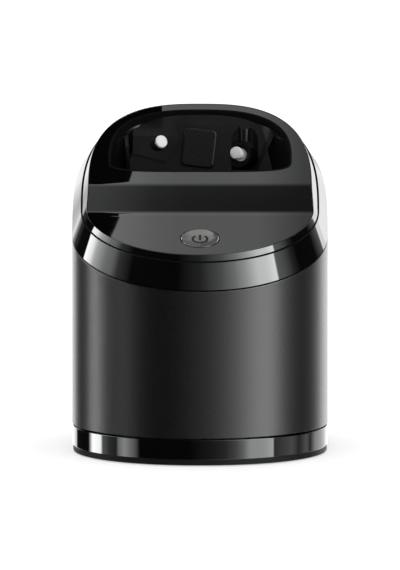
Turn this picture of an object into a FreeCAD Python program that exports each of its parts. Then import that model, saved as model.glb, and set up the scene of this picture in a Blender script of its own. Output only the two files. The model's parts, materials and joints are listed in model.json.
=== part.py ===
import FreeCAD
import Part
import math
import os

from FreeCAD import Placement, Vector

# Cleaning station for an electric shaver. Units are millimetres, +Z is up, the front faces -Y
# and the origin lies under the middle of the body, on the surface that the station stands on.

# ---- Outer body: a rounded oval in plan, rounder in front and squarer at the back ----
BODY_HALF_WIDTH = 65.0
FRONT_DEPTH = 56.0
REAR_DEPTH = 66.0
FRONT_POWER = 2.1
REAR_POWER = 3.4
SHOULDER_POWER = 2.9
CROWN_POWER = 2.75
FOOT_GAP = 0.5
FOOT_HEIGHT = 2.8
FOOT_INSET = 0.5
TRIM_HEIGHT = 10.1
TRIM_INSET = 0.3
TRIM_WALL = 1.5
APRON_WALL = 2.0
BASE_GAP = 0.9
APRON_FRONT_HEIGHT = 75.0
COLLAR_WALL = 1.8
BEZEL_LAND = 0.3

# ---- Sloping seams, seen from the side ----
FRONT_SLOPE = 20.4
REAR_SLOPE = 34.5
KNEE_RADIUS = 30.0
COLLAR_RISE = 12.6
COLLAR_INSET = 4.4
BEZEL_RISE = 3.0
BEZEL_INSET = 2.2
BEZEL_DRAFT = 0.26

# ---- Top panel: sloping front panel, step, ledge and the ring round the pocket ----
STEP_Y = -14.0
STEP_RISE = 13.15
STEP_RUN = 15.0
RING_SLOPE = 32.4
STEP_FOOT_RADIUS = 7.0
STEP_NOSE_RADIUS = 8.0
PANEL_DROP = 2.4
RING_SIDE = 12.7
RING_REAR = 4.9
POCKET_CENTRE_Y = 18.0
POCKET_FRONT_DEPTH = 8.0
POCKET_FRONT_POWER = 4.5
POCKET_REAR_POWER = 2.7
POCKET_LIP = 3.0
RIM_WALL = 0.9
RIM_CREST = 0.1
RIM_ROUND = 0.3

# ---- Start button on the front panel ----
BUTTON_RADIUS = 9.7
BUTTON_Y = -38.0
BUTTON_TRAVEL = 0.8
BUTTON_PROUD = 0.35
BUTTON_FLANGE = 1.6
BUTTON_FLANGE_THICKNESS = 1.0
BUTTON_STEM_RADIUS = 2.2
GUIDE_WALL = 1.4
GUIDE_LENGTH = 5.0
DISH_RADIUS = 60.0

# ---- Wash bowl under the pocket ----
BOWL_WALL = 1.6
BOWL_SHOULDER_Z = 122.0
BOWL_FLOOR_Z = 74.0
BOWL_HALF_WIDTH = 31.0
BOWL_CENTRE_Y = 26.0
BOWL_FRONT_DEPTH = 11.0
BOWL_REAR_DEPTH = 12.0
BOWL_POWER = 3.2
SPOUT_RADIUS = 6.0
SPOUT_LENGTH = 15.0
HEAD_REST_HEIGHT = 9.0
HEAD_REST_WALL = 2.0

# ---- Charging contacts in the back of the pocket ----
CONTACT_RADIUS = 3.3
CONTACT_HEAD = 7.0
CONTACT_STEM_RADIUS = 1.6
CONTACT_STEM = 3.0
CONTACT_OUT = 5.0
CONTACT_EDGE = 0.8
CONTACT_TRAVEL = 1.5
CONTACT_SWING = 24.0
CONTACT_TILT = 17.0
LEFT_CONTACT_X = -19.4
LEFT_CONTACT_DEPTH = 14.5
LEFT_CONTACT_DROP = 13.7
RIGHT_CONTACT_X = 18.1
RIGHT_CONTACT_DEPTH = 13.0
RIGHT_CONTACT_DROP = 19.7
CARRIER_DEPTH = 7.0
CARRIER_HEIGHT = 39.3
CARRIER_LEAN = 10.0
CARRIER_DROP = 1.7
CARRIER_TOP_SLOPE = 46.0
LEFT_BOSS = [(-12.9, 7.1), (7.3, 11.4), (10.9, 2.6), (3.7, -9.5), (-12.9, -5.2)]
BOSS_LENGTH = 18.0
RIGHT_SEAT_RADIUS = 6.5
RIGHT_SEAT_RECESS = 5.0
RIGHT_NICHE_X = 22.8
RIGHT_NICHE_WIDTH = 13.6
RIGHT_NICHE_DEPTH = 3.5
RIGHT_NICHE_DROP = 7.3
RIGHT_NICHE_HEIGHT = 22.0
CHANNEL_RADIUS = 3.1
CHANNEL_DROP = 14.8
PAD_WIDTH = 17.0
PAD_HEIGHT = 19.5
PAD_THICKNESS = 3.2
PAD_X = -0.6
PAD_DROP = 18.3
PAD_TURN = 6.5
PAD_CORNER = 2.5
RIB_WALL = 1.8
RIB_DEPTH = 7.0
LEFT_RIB_X = -37.0
LEFT_RIB_TURN = -4.0
RIGHT_RIB_X = 32.6
RIGHT_RIB_TURN = 25.5

# ---- Guide columns, lift springs and lift ----
COLUMN_RADIUS = 3.8
COLUMN_TOP_Z = 118.0
COLUMN_CHAMFER = 1.0
LIFT = 54.0
BUSH_WALL = 0.8
BUSH_LENGTH = 8.0
SLEEVE_WALL = 1.1
SLEEVE_BOTTOM_Z = 28.0
SPRING_WIRE = 1.2
SPRING_TURNS = 6

# ---- Chassis deck inside the housing ----
DECK_Z = 62.0
DECK_THICKNESS = 2.5
SCREW_RADIUS = 1.5
SCREW_HEAD_RADIUS = 2.8
SCREW_HEAD = 1.6
SCREW_LENGTH = 8.0
DECK_SCREW_INSET = 5.2
DECK_BOSS_RADIUS = 4.0
DECK_BOSS_HEIGHT = 7.0

# ---- Cartridge with cleaning fluid ----
CARTRIDGE_HEIGHT = 50.0
CARTRIDGE_TOP = 4.0
CARTRIDGE_WALL = 1.6
CARTRIDGE_TAPER = 1.5
CARTRIDGE_FILLET = 4.0
CARTRIDGE_Y = -3.0
WELL_HEIGHT = 5.0
WELL_WALL = 1.4
SUCTION_HOLE_RADIUS = 7.0
DRAIN_HOLE_RADIUS = 13.0
GRIP_WIDTH = 26.0
GRIP_HEIGHT = 3.0

# ---- Pump, motor and fluid lines ----
PUMP_X = -26.0
PUMP_Y = -24.0
VOLUTE_RADIUS = 14.0
VOLUTE_HEIGHT = 8.0
VOLUTE_WALL = 1.5
IMPELLER_RADIUS = 10.5
IMPELLER_DISC = 1.0
HUB_RADIUS = 2.5
VANE_HEIGHT = 2.4
VANE_WALL = 1.0
VANES = 6
SHAFT_RADIUS = 1.0
MOTOR_RADIUS = 11.0
MOTOR_LENGTH = 25.0
MOTOR_CAP = 2.0
MOTOR_FLAT = 1.5
SHAFT_END = 1.5
CLIP_WALL = 1.5
CLIP_HEIGHT = 8.0
INTAKE_RADIUS = 3.0
INTAKE_BORE = 2.0
INTAKE_BOTTOM_Z = 9.0
HOSE_RADIUS = 2.5
HOSE_BORE = 1.5
HOSE_BEND = 4.2
HOSE_RISE = 19.0
HOSE_RUN = 9.0

# ---- Circuit board and switch ----
BOARD_HALF_WIDTH = 27.0
BOARD_LENGTH = 26.0
BOARD_SHIFT = 6.0
BOARD_THICKNESS = 1.6
BOARD_DEPTH = 11.0
CHIP_SIZE = 8.0
CHIP_HEIGHT = 1.2
PLUG_WIDTH = 6.0
PLUG_LENGTH = 10.0
PLUG_HEIGHT = 3.2
SWITCH_SIZE = 6.2
SWITCH_HEIGHT = 3.5
PLUNGER_RADIUS = 1.7
POST_RADIUS = 2.6

# ---- Release button, latch fork and power socket at the back ----
RELEASE_WIDTH = 22.0
RELEASE_HEIGHT = 13.0
RELEASE_Z = 74.0
RELEASE_CORNER = 4.0
RELEASE_TRAVEL = 2.5
RELEASE_FLANGE = 1.6
RELEASE_RECESS = 0.2
RELEASE_CROWN = 0.2
FORK_THICKNESS = 2.0
FORK_INSET = 7.0
FORK_WIDTH = 5.0
FORK_FRONT_Y = -9.0
FORK_EAR_LENGTH = 20.0
NOTCH_DEPTH = 1.2
NOTCH_HEIGHT = 3.4
LATCH_POST_Y = 43.0
RELEASE_SPRING_WIRE = 0.7
RELEASE_SPRING_RADIUS = 2.6
RELEASE_SPRING_TURNS = 4
SOCKET_X = 34.0
SOCKET_Z = 24.0
SOCKET_WIDTH = 13.0
SOCKET_HEIGHT = 9.0
SOCKET_LENGTH = 14.0
SOCKET_CORNER = 1.5
SOCKET_OPENING_WIDTH = 9.6
SOCKET_OPENING_HEIGHT = 5.6
SOCKET_OPENING_DEPTH = 9.0
SOCKET_PIN_RADIUS = 0.8
SOCKET_PIN_LENGTH = 6.5
SOCKET_PIN_PITCH = 4.4

# ---- Feet ----
PAD_FOOT_RADIUS = 6.0
PAD_FOOT_X = 38.0
PAD_FOOT_FRONT_Y = -38.0
PAD_FOOT_REAR_Y = 40.0
PAD_FOOT_SINK = 0.8

# ---- Clearances ----
SEAM_GAP = 0.3
PANEL_GAP = 0.2
SLIDE_CLEARANCE = 0.3
RUNNING_CLEARANCE = 0.1
BUTTON_CLEARANCE = 0.5
SEAT_GAP = 0.3
OVERRUN = 1.0

CURVE_POINTS = 48
RAIL_POINTS = 96
REACH = 90.0
CEILING = 230.0

# ---- Levels and places worked out from the sizes above ----
FLOOR_Z = FOOT_GAP + FOOT_HEIGHT
TRIM_TOP_Z = FLOOR_Z + TRIM_HEIGHT
RIM_TOP_Z = TRIM_TOP_Z - TRIM_WALL - RUNNING_CLEARANCE
APRON_BOTTOM_Z = TRIM_TOP_Z + BASE_GAP
CENTRE_Y = (FRONT_DEPTH - REAR_DEPTH) / 2
FRONT_Y = CENTRE_Y - FRONT_DEPTH
REAR_Y = CENTRE_Y + REAR_DEPTH
CROWN_INSET = COLLAR_INSET + BEZEL_INSET
POCKET_HALF_WIDTH = BODY_HALF_WIDTH - CROWN_INSET - RING_SIDE
POCKET_REAR_Y = REAR_Y - CROWN_INSET - RING_REAR
POCKET_REAR_DEPTH = POCKET_REAR_Y - POCKET_CENTRE_Y
BUSH_BORE = COLUMN_RADIUS + SLIDE_CLEARANCE
SLEEVE_BORE = BUSH_BORE + BUSH_WALL
SLEEVE_RADIUS = SLEEVE_BORE + SLEEVE_WALL
COLUMN_X = BODY_HALF_WIDTH - APRON_WALL - SEAM_GAP - SLEEVE_RADIUS
CARTRIDGE_RADIUS = COLUMN_X - SLEEVE_RADIUS - 2 * SLIDE_CLEARANCE
CARTRIDGE_TOP_Z = FLOOR_Z + CARTRIDGE_HEIGHT
DECK_TOP_Z = DECK_Z + DECK_THICKNESS


class Oval:
    """Plan outline: two half superellipses that meet at the widest line."""

    def __init__(self, centre_y, half_width, front, rear, front_power, rear_power, pinch=None):
        self.centre_y = centre_y
        self.half_width = half_width
        self.front = front
        self.rear = rear
        self.front_power = front_power
        self.rear_power = rear_power
        self.pinch = pinch

    def inset(self, depth, rear_power=None, pinch=None):
        """The same outline moved inward, and rounder at the back or pinched at its sides."""
        return Oval(
            self.centre_y,
            self.half_width - depth,
            self.front - depth,
            self.rear - depth,
            self.front_power,
            rear_power or self.rear_power,
            pinch or self.pinch,
        )

    def point(self, angle):
        """Plan position at a polar angle about the middle of the widest line."""
        across = math.cos(angle)
        along = math.sin(angle)
        depth = self.rear if along > 0 else self.front
        power = self.rear_power if along > 0 else self.front_power
        reach = abs(across / self.half_width) ** power + abs(along / depth) ** power
        radius = reach ** (-1 / power)
        x, y = radius * across, self.centre_y + radius * along
        if self.pinch:
            x *= 1 - self.pinch(y) / self.half_width
        return x, y

    def edge(self, height, count=CURVE_POINTS):
        """Closed curve over the outline, at a height given as a number or a profile."""
        points = []
        for step in range(count):
            x, y = self.point(math.radians(60) + 2 * math.pi * step / count)
            z = height.at(y) if isinstance(height, Profile) else height
            points.append(Vector(x, y, z))
        curve = Part.BSplineCurve()
        curve.interpolate(Points=points, PeriodicFlag=True)
        return curve.toShape()

    def prism(self, bottom, top, count=CURVE_POINTS):
        """Upright solid over the outline."""
        face = Part.Face(Part.Wire([self.edge(bottom, count)]))
        return face.extrude(Vector(0, 0, top - bottom))

    def depth_at(self, x, rearward=True):
        """Y of the outline at a distance across the body."""
        depth = self.rear if rearward else -self.front
        power = self.rear_power if rearward else self.front_power
        share = 1 - abs(x / self.half_width) ** power
        return self.centre_y + depth * share ** (1 / power)


class Profile:
    """Side profile of straight slopes, with an arc at each corner."""

    def __init__(self, points, radii):
        self.parts = []
        start = points[0]
        for corner, after, radius in zip(points[1:-1], points[2:], radii):
            before = Vector(*start) - Vector(*corner)
            ahead = Vector(*after) - Vector(*corner)
            before.normalize()
            ahead.normalize()
            half = before.getAngle(ahead) / 2
            reach = radius / math.tan(half)
            middle = before + ahead
            middle.normalize()
            first = Vector(*corner) + before * reach
            last = Vector(*corner) + ahead * reach
            centre = Vector(*corner) + middle * (radius / math.sin(half))
            crown = centre - middle * radius
            self.parts.append(("line", Vector(*start), first))
            self.parts.append(("arc", first, last, crown, centre, radius))
            start = tuple(last)
        self.parts.append(("line", Vector(*start), Vector(*points[-1])))

    def at(self, y):
        """Height of the profile above a distance along the body."""
        for part in self.parts:
            first, last = part[1], part[2]
            if y <= last.y or part is self.parts[-1]:
                break
        if part[0] == "line":
            share = (y - first.y) / (last.y - first.y)
            return first.z + share * (last.z - first.z)
        crown, centre, radius = part[3:]
        side = math.copysign(1, crown.z - centre.z)
        return centre.z + side * math.sqrt(radius**2 - (y - centre.y) ** 2)

    def edges(self, drop=0.0):
        """Profile edges in the plane X = 0, lowered by drop."""
        shift = Vector(0, 0, -drop)
        edges = []
        for part in self.parts:
            if part[0] == "line":
                edges.append(Part.makeLine(part[1] + shift, part[2] + shift))
            else:
                arc = Part.Arc(part[1] + shift, part[3] + shift, part[2] + shift)
                edges.append(arc.toShape())
        return edges

    def slab(self, drop_top, drop_bottom):
        """Solid between two lowered copies of the profile, across the whole body."""
        first = self.parts[0][1]
        last = self.parts[-1][2]
        top = Vector(0, 0, -drop_top)
        bottom = Vector(0, 0, -drop_bottom)
        edges = self.edges(drop_top) + self.edges(drop_bottom)
        edges.append(Part.makeLine(first + top, first + bottom))
        edges.append(Part.makeLine(last + top, last + bottom))
        face = Part.Face(Part.Wire(Part.__sortEdges__(edges)))
        face.translate(Vector(-REACH, 0, 0))
        return face.extrude(Vector(2 * REACH, 0, 0))

    def above(self, drop=0.0):
        """Everything above the lowered profile."""
        return self.slab(drop, drop - CEILING)


def slope_line(y, z, degrees, to_y):
    """Point of a straight slope through (y, z)."""
    return 0.0, to_y, z + (to_y - y) * math.tan(math.radians(degrees))


BODY = Oval(CENTRE_Y, BODY_HALF_WIDTH, FRONT_DEPTH, REAR_DEPTH, FRONT_POWER, REAR_POWER)
SHOULDER = BODY.inset(COLLAR_INSET, SHOULDER_POWER)
SOCKET_FACE_Y = BODY.depth_at(SOCKET_X + SOCKET_WIDTH / 2)
POCKET = Oval(
    POCKET_CENTRE_Y,
    POCKET_HALF_WIDTH,
    POCKET_FRONT_DEPTH,
    POCKET_REAR_DEPTH,
    POCKET_FRONT_POWER,
    POCKET_REAR_POWER,
)
BOWL = Oval(
    BOWL_CENTRE_Y, BOWL_HALF_WIDTH, BOWL_FRONT_DEPTH, BOWL_REAR_DEPTH, BOWL_POWER, BOWL_POWER
)

SEAM_FRONT_Z = APRON_BOTTOM_Z + APRON_FRONT_HEIGHT
KNEE = slope_line(FRONT_Y, SEAM_FRONT_Z, FRONT_SLOPE, CENTRE_Y)
PANEL_LIFT = COLLAR_RISE + BEZEL_RISE
STEP_FOOT_Z = SEAM_FRONT_Z + PANEL_LIFT + (STEP_Y - FRONT_Y) * math.tan(math.radians(FRONT_SLOPE))
NOSE = (0.0, STEP_Y + STEP_RUN, STEP_FOOT_Z + STEP_RISE)

SEAM = Profile(
    [
        slope_line(KNEE[1], KNEE[2], FRONT_SLOPE, -REACH),
        KNEE,
        slope_line(KNEE[1], KNEE[2], REAR_SLOPE, REACH),
    ],
    [KNEE_RADIUS],
)
UPPER_SEAM = Profile(
    [
        slope_line(KNEE[1], KNEE[2] + COLLAR_RISE, FRONT_SLOPE, -REACH),
        (0.0, KNEE[1], KNEE[2] + COLLAR_RISE),
        slope_line(KNEE[1], KNEE[2] + COLLAR_RISE, REAR_SLOPE, REACH),
    ],
    [KNEE_RADIUS],
)
TOP = Profile(
    [
        slope_line(STEP_Y, STEP_FOOT_Z, FRONT_SLOPE, -REACH),
        (0.0, STEP_Y, STEP_FOOT_Z),
        NOSE,
        slope_line(NOSE[1], NOSE[2], RING_SLOPE, REACH),
    ],
    [STEP_FOOT_RADIUS, STEP_NOSE_RADIUS],
)
MOUTH_REAR_Z = TOP.at(POCKET_REAR_Y)


def bezel_pinch(y):
    """Extra inset of the crown's sides where the bezel stands taller than in front."""
    return BEZEL_DRAFT * (TOP.at(y) - UPPER_SEAM.at(y) - BEZEL_RISE)


CROWN = SHOULDER.inset(BEZEL_INSET, CROWN_POWER, bezel_pinch)


def behind_mouth(x, depth, drop):
    """Place measured forward and down from the rear edge of the pocket's mouth."""
    return Vector(x, POCKET_REAR_Y - depth, MOUTH_REAR_Z - drop)


LEFT_CONTACT = behind_mouth(LEFT_CONTACT_X, LEFT_CONTACT_DEPTH, LEFT_CONTACT_DROP)
RIGHT_CONTACT = behind_mouth(RIGHT_CONTACT_X, RIGHT_CONTACT_DEPTH, RIGHT_CONTACT_DROP)
CARRIER_FACE_Y = POCKET_REAR_Y - CARRIER_DEPTH
CARRIER_BOTTOM_Z = MOUTH_REAR_Z - CARRIER_HEIGHT
RIGHT_NICHE_TOP = MOUTH_REAR_Z - RIGHT_NICHE_DROP
RIGHT_NICHE_BOTTOM = RIGHT_NICHE_TOP - RIGHT_NICHE_HEIGHT
PAD_Z = MOUTH_REAR_Z - PAD_DROP


def placed(shape, origin, forward, up=Vector(0, 0, 1)):
    """Shape whose +Z axis is turned along forward, with its +Y axis near up, at origin."""
    z_axis = Vector(forward).normalize()
    x_axis = Vector(up).cross(z_axis).normalize()
    y_axis = z_axis.cross(x_axis)
    turn = FreeCAD.Matrix(
        x_axis.x, y_axis.x, z_axis.x, origin.x,
        x_axis.y, y_axis.y, z_axis.y, origin.y,
        x_axis.z, y_axis.z, z_axis.z, origin.z,
        0, 0, 0, 1,
    )
    copy = shape.copy()
    copy.Placement = Placement(turn)
    return copy


def cylinder(radius, bottom, top, x=0.0, y=0.0):
    """Upright cylinder."""
    return Part.makeCylinder(radius, top - bottom, Vector(x, y, bottom))


def tube(outer, inner, bottom, top, x=0.0, y=0.0):
    """Upright tube."""
    return cylinder(outer, bottom, top, x, y).cut(cylinder(inner, bottom - 1, top + 1, x, y))


def box(x0, x1, y0, y1, z0, z1):
    """Block between two corners."""
    return Part.makeBox(x1 - x0, y1 - y0, z1 - z0, Vector(x0, y0, z0))


def rounded_block(width, height, corner, y0, y1, x, z):
    """Block with rounded corners, running along Y."""
    block = box(x - width / 2, x + width / 2, y0, y1, z - height / 2, z + height / 2)
    return block.makeFillet(corner, [e for e in block.Edges if along_axis(e, Vector(0, 1, 0))])


def along_axis(edge, axis):
    """Whether an edge is straight and parallel to the axis."""
    if len(edge.Vertexes) != 2:
        return False
    run = edge.Vertexes[1].Point - edge.Vertexes[0].Point
    return abs(abs(run.dot(axis)) - run.Length) < 1e-6


def band(*rails):
    """Closed ring whose section is the polygon through the closed rails."""
    faces = [Part.makeRuledSurface(rails[i - 1], rails[i]) for i in range(len(rails))]
    shell = Part.makeShell(faces)
    shell.sewShape()
    solid = Part.makeSolid(shell)
    if solid.Volume < 0:
        solid.reverse()
    return solid


def coil(radius, wire, turns, length):
    """Compression spring about +Z, standing on Z = 0."""
    pitch = (length - wire) / turns
    path = Part.makeHelix(pitch, length - wire, radius)
    half = wire / 2
    corners = [(-half, -half), (half, -half), (half, half), (-half, half), (-half, -half)]
    section = Part.makePolygon([Vector(radius + across, 0, up) for across, up in corners])
    spring = Part.Wire(path).makePipeShell([section], True, True)
    spring.translate(Vector(0, 0, wire / 2))
    return spring


def pipe(points, bend, outer, inner):
    """Hose along straight runs in one plane that are joined by arcs."""
    edges = []
    start = points[0]
    for corner, after in zip(points[1:-1], points[2:]):
        before = (start - corner).normalize()
        ahead = (after - corner).normalize()
        half = before.getAngle(ahead) / 2
        reach = bend / math.tan(half)
        middle = (before + ahead).normalize()
        crown = corner + middle * (bend / math.sin(half) - bend)
        first = corner + before * reach
        last = corner + ahead * reach
        edges.append(Part.makeLine(start, first))
        edges.append(Part.Arc(first, crown, last).toShape())
        start = last
    edges.append(Part.makeLine(start, points[-1]))
    path = Part.Wire(edges)
    heading = points[1] - points[0]
    solids = []
    for radius in (outer, inner):
        ring = Part.Wire([Part.makeCircle(radius, points[0], heading)])
        solids.append(path.makePipeShell([ring], True, True))
    return solids[0].cut(solids[1])


def screw(x, y, seat_z, length, up=1):
    """Pan-head screw whose head stands on seat_z and whose shank runs the other way."""
    head = Part.makeCylinder(SCREW_HEAD_RADIUS, SCREW_HEAD, Vector(x, y, seat_z), Vector(0, 0, up))
    shank = Part.makeCylinder(SCREW_RADIUS, length, Vector(x, y, seat_z), Vector(0, 0, -up))
    return head.fuse(shank)


def column_places():
    """Centres of the two guide columns."""
    return [(-COLUMN_X, 0.0), (COLUMN_X, 0.0)]


def foot_places():
    """Centres of the four rubber feet."""
    return [(x, y) for x in (-PAD_FOOT_X, PAD_FOOT_X) for y in (PAD_FOOT_FRONT_Y, PAD_FOOT_REAR_Y)]


# ---- Frame of the front panel: X across, V up the slope, N out of the panel ----
SLOPE = math.radians(FRONT_SLOPE)
PANEL_V = Vector(0, math.cos(SLOPE), math.sin(SLOPE))
PANEL_N = Vector(0, -math.sin(SLOPE), math.cos(SLOPE))
BUTTON_CENTRE = Vector(0, BUTTON_Y, TOP.at(BUTTON_Y))
PANEL_WALL = PANEL_DROP * math.cos(SLOPE)
BUTTON_HOLE = BUTTON_RADIUS + BUTTON_CLEARANCE


def on_panel(x, v, n):
    """Point in the frame of the front panel, from the start button's centre."""
    return BUTTON_CENTRE + Vector(x, 0, 0) + PANEL_V * v + PANEL_N * n


def panel_cylinder(radius, low, high, x=0.0, v=0.0):
    """Cylinder square to the front panel."""
    return Part.makeCylinder(radius, high - low, on_panel(x, v, low), PANEL_N)


def panel_block(x0, x1, v0, v1, n0, n1):
    """Block square to the front panel."""
    corners = [on_panel(x0, v0, n0), on_panel(x1, v0, n0), on_panel(x1, v1, n0), on_panel(x0, v1, n0)]
    face = Part.Face(Part.makePolygon(corners + corners[:1]))
    return face.extrude(PANEL_N * (n1 - n0))


# ---- Base ----
def base_plate():
    """Tray with a rim, a well for the cartridge and seats for the columns."""
    foot = BODY.inset(FOOT_INSET)
    rim = BODY.inset(TRIM_INSET + TRIM_WALL + RUNNING_CLEARANCE)
    tray = foot.prism(FOOT_GAP, FLOOR_Z)
    wall = rim.prism(FLOOR_Z, RIM_TOP_Z).cut(rim.inset(APRON_WALL).prism(FLOOR_Z, CEILING))
    tray = tray.fuse(wall)
    well_bore = CARTRIDGE_RADIUS + SLIDE_CLEARANCE
    well = tube(well_bore + WELL_WALL, well_bore, FLOOR_Z, FLOOR_Z + WELL_HEIGHT, 0, CARTRIDGE_Y)
    well = well.cut(box(-REACH, REACH, -SLEEVE_RADIUS * 2, SLEEVE_RADIUS * 2, 0, CEILING))
    tray = tray.fuse(well)
    for x, y in column_places():
        seat = cylinder(SLEEVE_RADIUS, FLOOR_Z, RIM_TOP_Z, x, y)
        tray = tray.fuse(seat.common(rim.prism(FLOOR_Z, CEILING)))
    for x, y in column_places():
        tray = tray.cut(cylinder(COLUMN_RADIUS, FLOOR_Z, CEILING, x, y))
        tray = tray.cut(cylinder(SCREW_RADIUS, 0, FLOOR_Z, x, y))
        tray = tray.cut(cylinder(SCREW_HEAD_RADIUS, 0, FOOT_GAP + SCREW_HEAD, x, y))
    for x, y in foot_places():
        tray = tray.cut(cylinder(PAD_FOOT_RADIUS, 0, FOOT_GAP + PAD_FOOT_SINK, x, y))
    return tray.removeSplitter()


def trim_band():
    """Glossy band round the tray, with a lip that hooks over the rim."""
    outer = BODY.inset(TRIM_INSET)
    inner = outer.inset(TRIM_WALL)
    ring = outer.prism(FLOOR_Z, TRIM_TOP_Z).cut(inner.prism(FLOOR_Z - 1, TRIM_TOP_Z + 1))
    lip_z = TRIM_TOP_Z - TRIM_WALL
    lip = outer.prism(lip_z, TRIM_TOP_Z)
    lip = lip.cut(inner.inset(APRON_WALL + RUNNING_CLEARANCE).prism(lip_z - 1, TRIM_TOP_Z + 1))
    for x, y in column_places():
        lip = lip.cut(cylinder(SLEEVE_RADIUS + SLIDE_CLEARANCE, 0, CEILING, x, y))
    return ring.fuse(lip).removeSplitter()


def rubber_feet():
    """Four pads sunk into the underside."""
    pads = []
    for x, y in foot_places():
        pads.append(cylinder(PAD_FOOT_RADIUS, 0, FOOT_GAP + PAD_FOOT_SINK, x, y))
    return Part.makeCompound(pads)


def guide_column(x, y):
    """Round column with a latch notch in front, tapped for its screw."""
    column = cylinder(COLUMN_RADIUS, FLOOR_Z, COLUMN_TOP_Z, x, y)
    rim = [e for e in column.Edges if e.BoundBox.ZMin > COLUMN_TOP_Z - 0.1 and e.Closed]
    column = column.makeChamfer(COLUMN_CHAMFER, rim)
    middle = RELEASE_Z
    notch_y = y - COLUMN_RADIUS + NOTCH_DEPTH
    low = middle - NOTCH_HEIGHT / 2
    notch = box(x - REACH, x + REACH, y - REACH, notch_y, low, low + NOTCH_HEIGHT)
    column = column.cut(notch)
    return column.cut(cylinder(SCREW_RADIUS, FLOOR_Z, FOOT_GAP + SCREW_HEAD + SCREW_LENGTH, x, y))


def column_screws():
    """Screws that hold the columns from below."""
    seat = FOOT_GAP + SCREW_HEAD
    return Part.makeCompound([screw(x, y, seat, SCREW_LENGTH, -1) for x, y in column_places()])


def lift_spring(x, y):
    """Spring round a column, pressed down by the housing's sleeve."""
    radius = SLEEVE_RADIUS - SLIDE_CLEARANCE - SPRING_WIRE / 2
    spring = coil(radius, SPRING_WIRE, SPRING_TURNS, SLEEVE_BOTTOM_Z - SEAT_GAP - RIM_TOP_Z)
    spring.translate(Vector(x, y, RIM_TOP_Z))
    return spring


# ---- Cartridge ----
def cartridge_tub():
    """Round tub with a slight taper and a rounded foot."""
    top_z = CARTRIDGE_TOP_Z - CARTRIDGE_TOP
    low = CARTRIDGE_RADIUS - CARTRIDGE_TAPER
    outline = []
    for inset, floor in ((0.0, 0.0), (CARTRIDGE_WALL, CARTRIDGE_WALL)):
        base = FLOOR_Z + floor
        points = [
            Vector(0, 0, base),
            Vector(low - inset, 0, base),
            Vector(CARTRIDGE_RADIUS - inset, 0, top_z),
            Vector(0, 0, top_z),
        ]
        solid = Part.Face(Part.makePolygon(points + points[:1])).revolve(
            Vector(0, 0, 0), Vector(0, 0, 1), 360
        )
        foot = [e for e in solid.Edges if e.Closed and abs(e.BoundBox.ZMax - base) < 1e-3]
        solid = solid.makeFillet(CARTRIDGE_FILLET - inset, foot)
        solid.translate(Vector(0, CARTRIDGE_Y, 0))
        outline.append(solid)
    return outline[0].cut(outline[1])


def cartridge_top():
    """Lid with a raised rim, a suction hole, a drain hole and a grip at the back."""
    low = CARTRIDGE_TOP_Z - CARTRIDGE_TOP
    lid = cylinder(CARTRIDGE_RADIUS, low, CARTRIDGE_TOP_Z, 0, CARTRIDGE_Y)
    recess = CARTRIDGE_RADIUS - 2 * CARTRIDGE_WALL
    lid = lid.cut(cylinder(recess, low + CARTRIDGE_WALL, CEILING, 0, CARTRIDGE_Y))
    for x, y, radius in (
        (PUMP_X, PUMP_Y, SUCTION_HOLE_RADIUS),
        (0, BOWL_CENTRE_Y, DRAIN_HOLE_RADIUS),
    ):
        collar = cylinder(radius + CARTRIDGE_WALL, low, CARTRIDGE_TOP_Z - CARTRIDGE_WALL / 2, x, y)
        lid = lid.fuse(collar).cut(cylinder(radius, 0, CEILING, x, y))
    return lid.removeSplitter()


def cartridge_grip():
    """Arched finger grip that stands on the lid, in front of the drain."""
    bottom = CARTRIDGE_TOP_Z - CARTRIDGE_TOP + CARTRIDGE_WALL
    half = GRIP_WIDTH / 2
    y0 = CARTRIDGE_Y - CARTRIDGE_WALL
    y1 = CARTRIDGE_Y + CARTRIDGE_WALL
    top = CARTRIDGE_TOP_Z + GRIP_HEIGHT
    bar = box(-half, half, y0, y1, bottom, top)
    gap = box(-half + CARTRIDGE_WALL * 2, half - CARTRIDGE_WALL * 2, y0 - 1, y1 + 1, bottom - 1,
              top - CARTRIDGE_WALL)
    return bar.cut(gap)


# ---- Housing shells ----
def apron():
    """Upright shell of the housing, cut off along the lower seam, open below, with screw bosses."""
    shell = BODY.prism(APRON_BOTTOM_Z, CEILING)
    shell = shell.cut(BODY.inset(APRON_WALL).prism(APRON_BOTTOM_Z - OVERRUN, CEILING + OVERRUN))
    for x, y in deck_screw_places():
        boss = cylinder(DECK_BOSS_RADIUS, DECK_Z - DECK_BOSS_HEIGHT, DECK_Z, x, y)
        shell = shell.fuse(boss.common(BODY.inset(APRON_WALL / 2).prism(APRON_BOTTOM_Z, CEILING)))
        shell = shell.cut(cylinder(SCREW_RADIUS, 0, CEILING, x, y))
    shell = shell.cut(SEAM.above())
    shell = shell.cut(socket_block(SEAM_GAP / 2, REACH))
    shell = shell.cut(release_block(BUTTON_CLEARANCE, RELEASE_CORNER, REAR_Y - FORK_INSET, REACH))
    return shell.removeSplitter()


def collar():
    """Drafted ring between the two sloping seams."""
    inner_low = BODY.inset(COLLAR_WALL)
    inner_high = SHOULDER.inset(COLLAR_WALL)
    low = lowered(SEAM, -SEAM_GAP)
    return band(
        BODY.edge(low, RAIL_POINTS),
        SHOULDER.edge(UPPER_SEAM, RAIL_POINTS),
        inner_high.edge(UPPER_SEAM, RAIL_POINTS),
        inner_low.edge(low, RAIL_POINTS),
    )


def bezel():
    """Bevelled ring between the upper seam and the edge of the top panel."""
    low = lowered(UPPER_SEAM, -SEAM_GAP)
    return band(
        SHOULDER.edge(low, RAIL_POINTS),
        CROWN.edge(TOP, RAIL_POINTS),
        CROWN.inset(BEZEL_LAND).edge(TOP, RAIL_POINTS),
        CROWN.inset(BEZEL_LAND).edge(low, RAIL_POINTS),
    )


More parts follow.
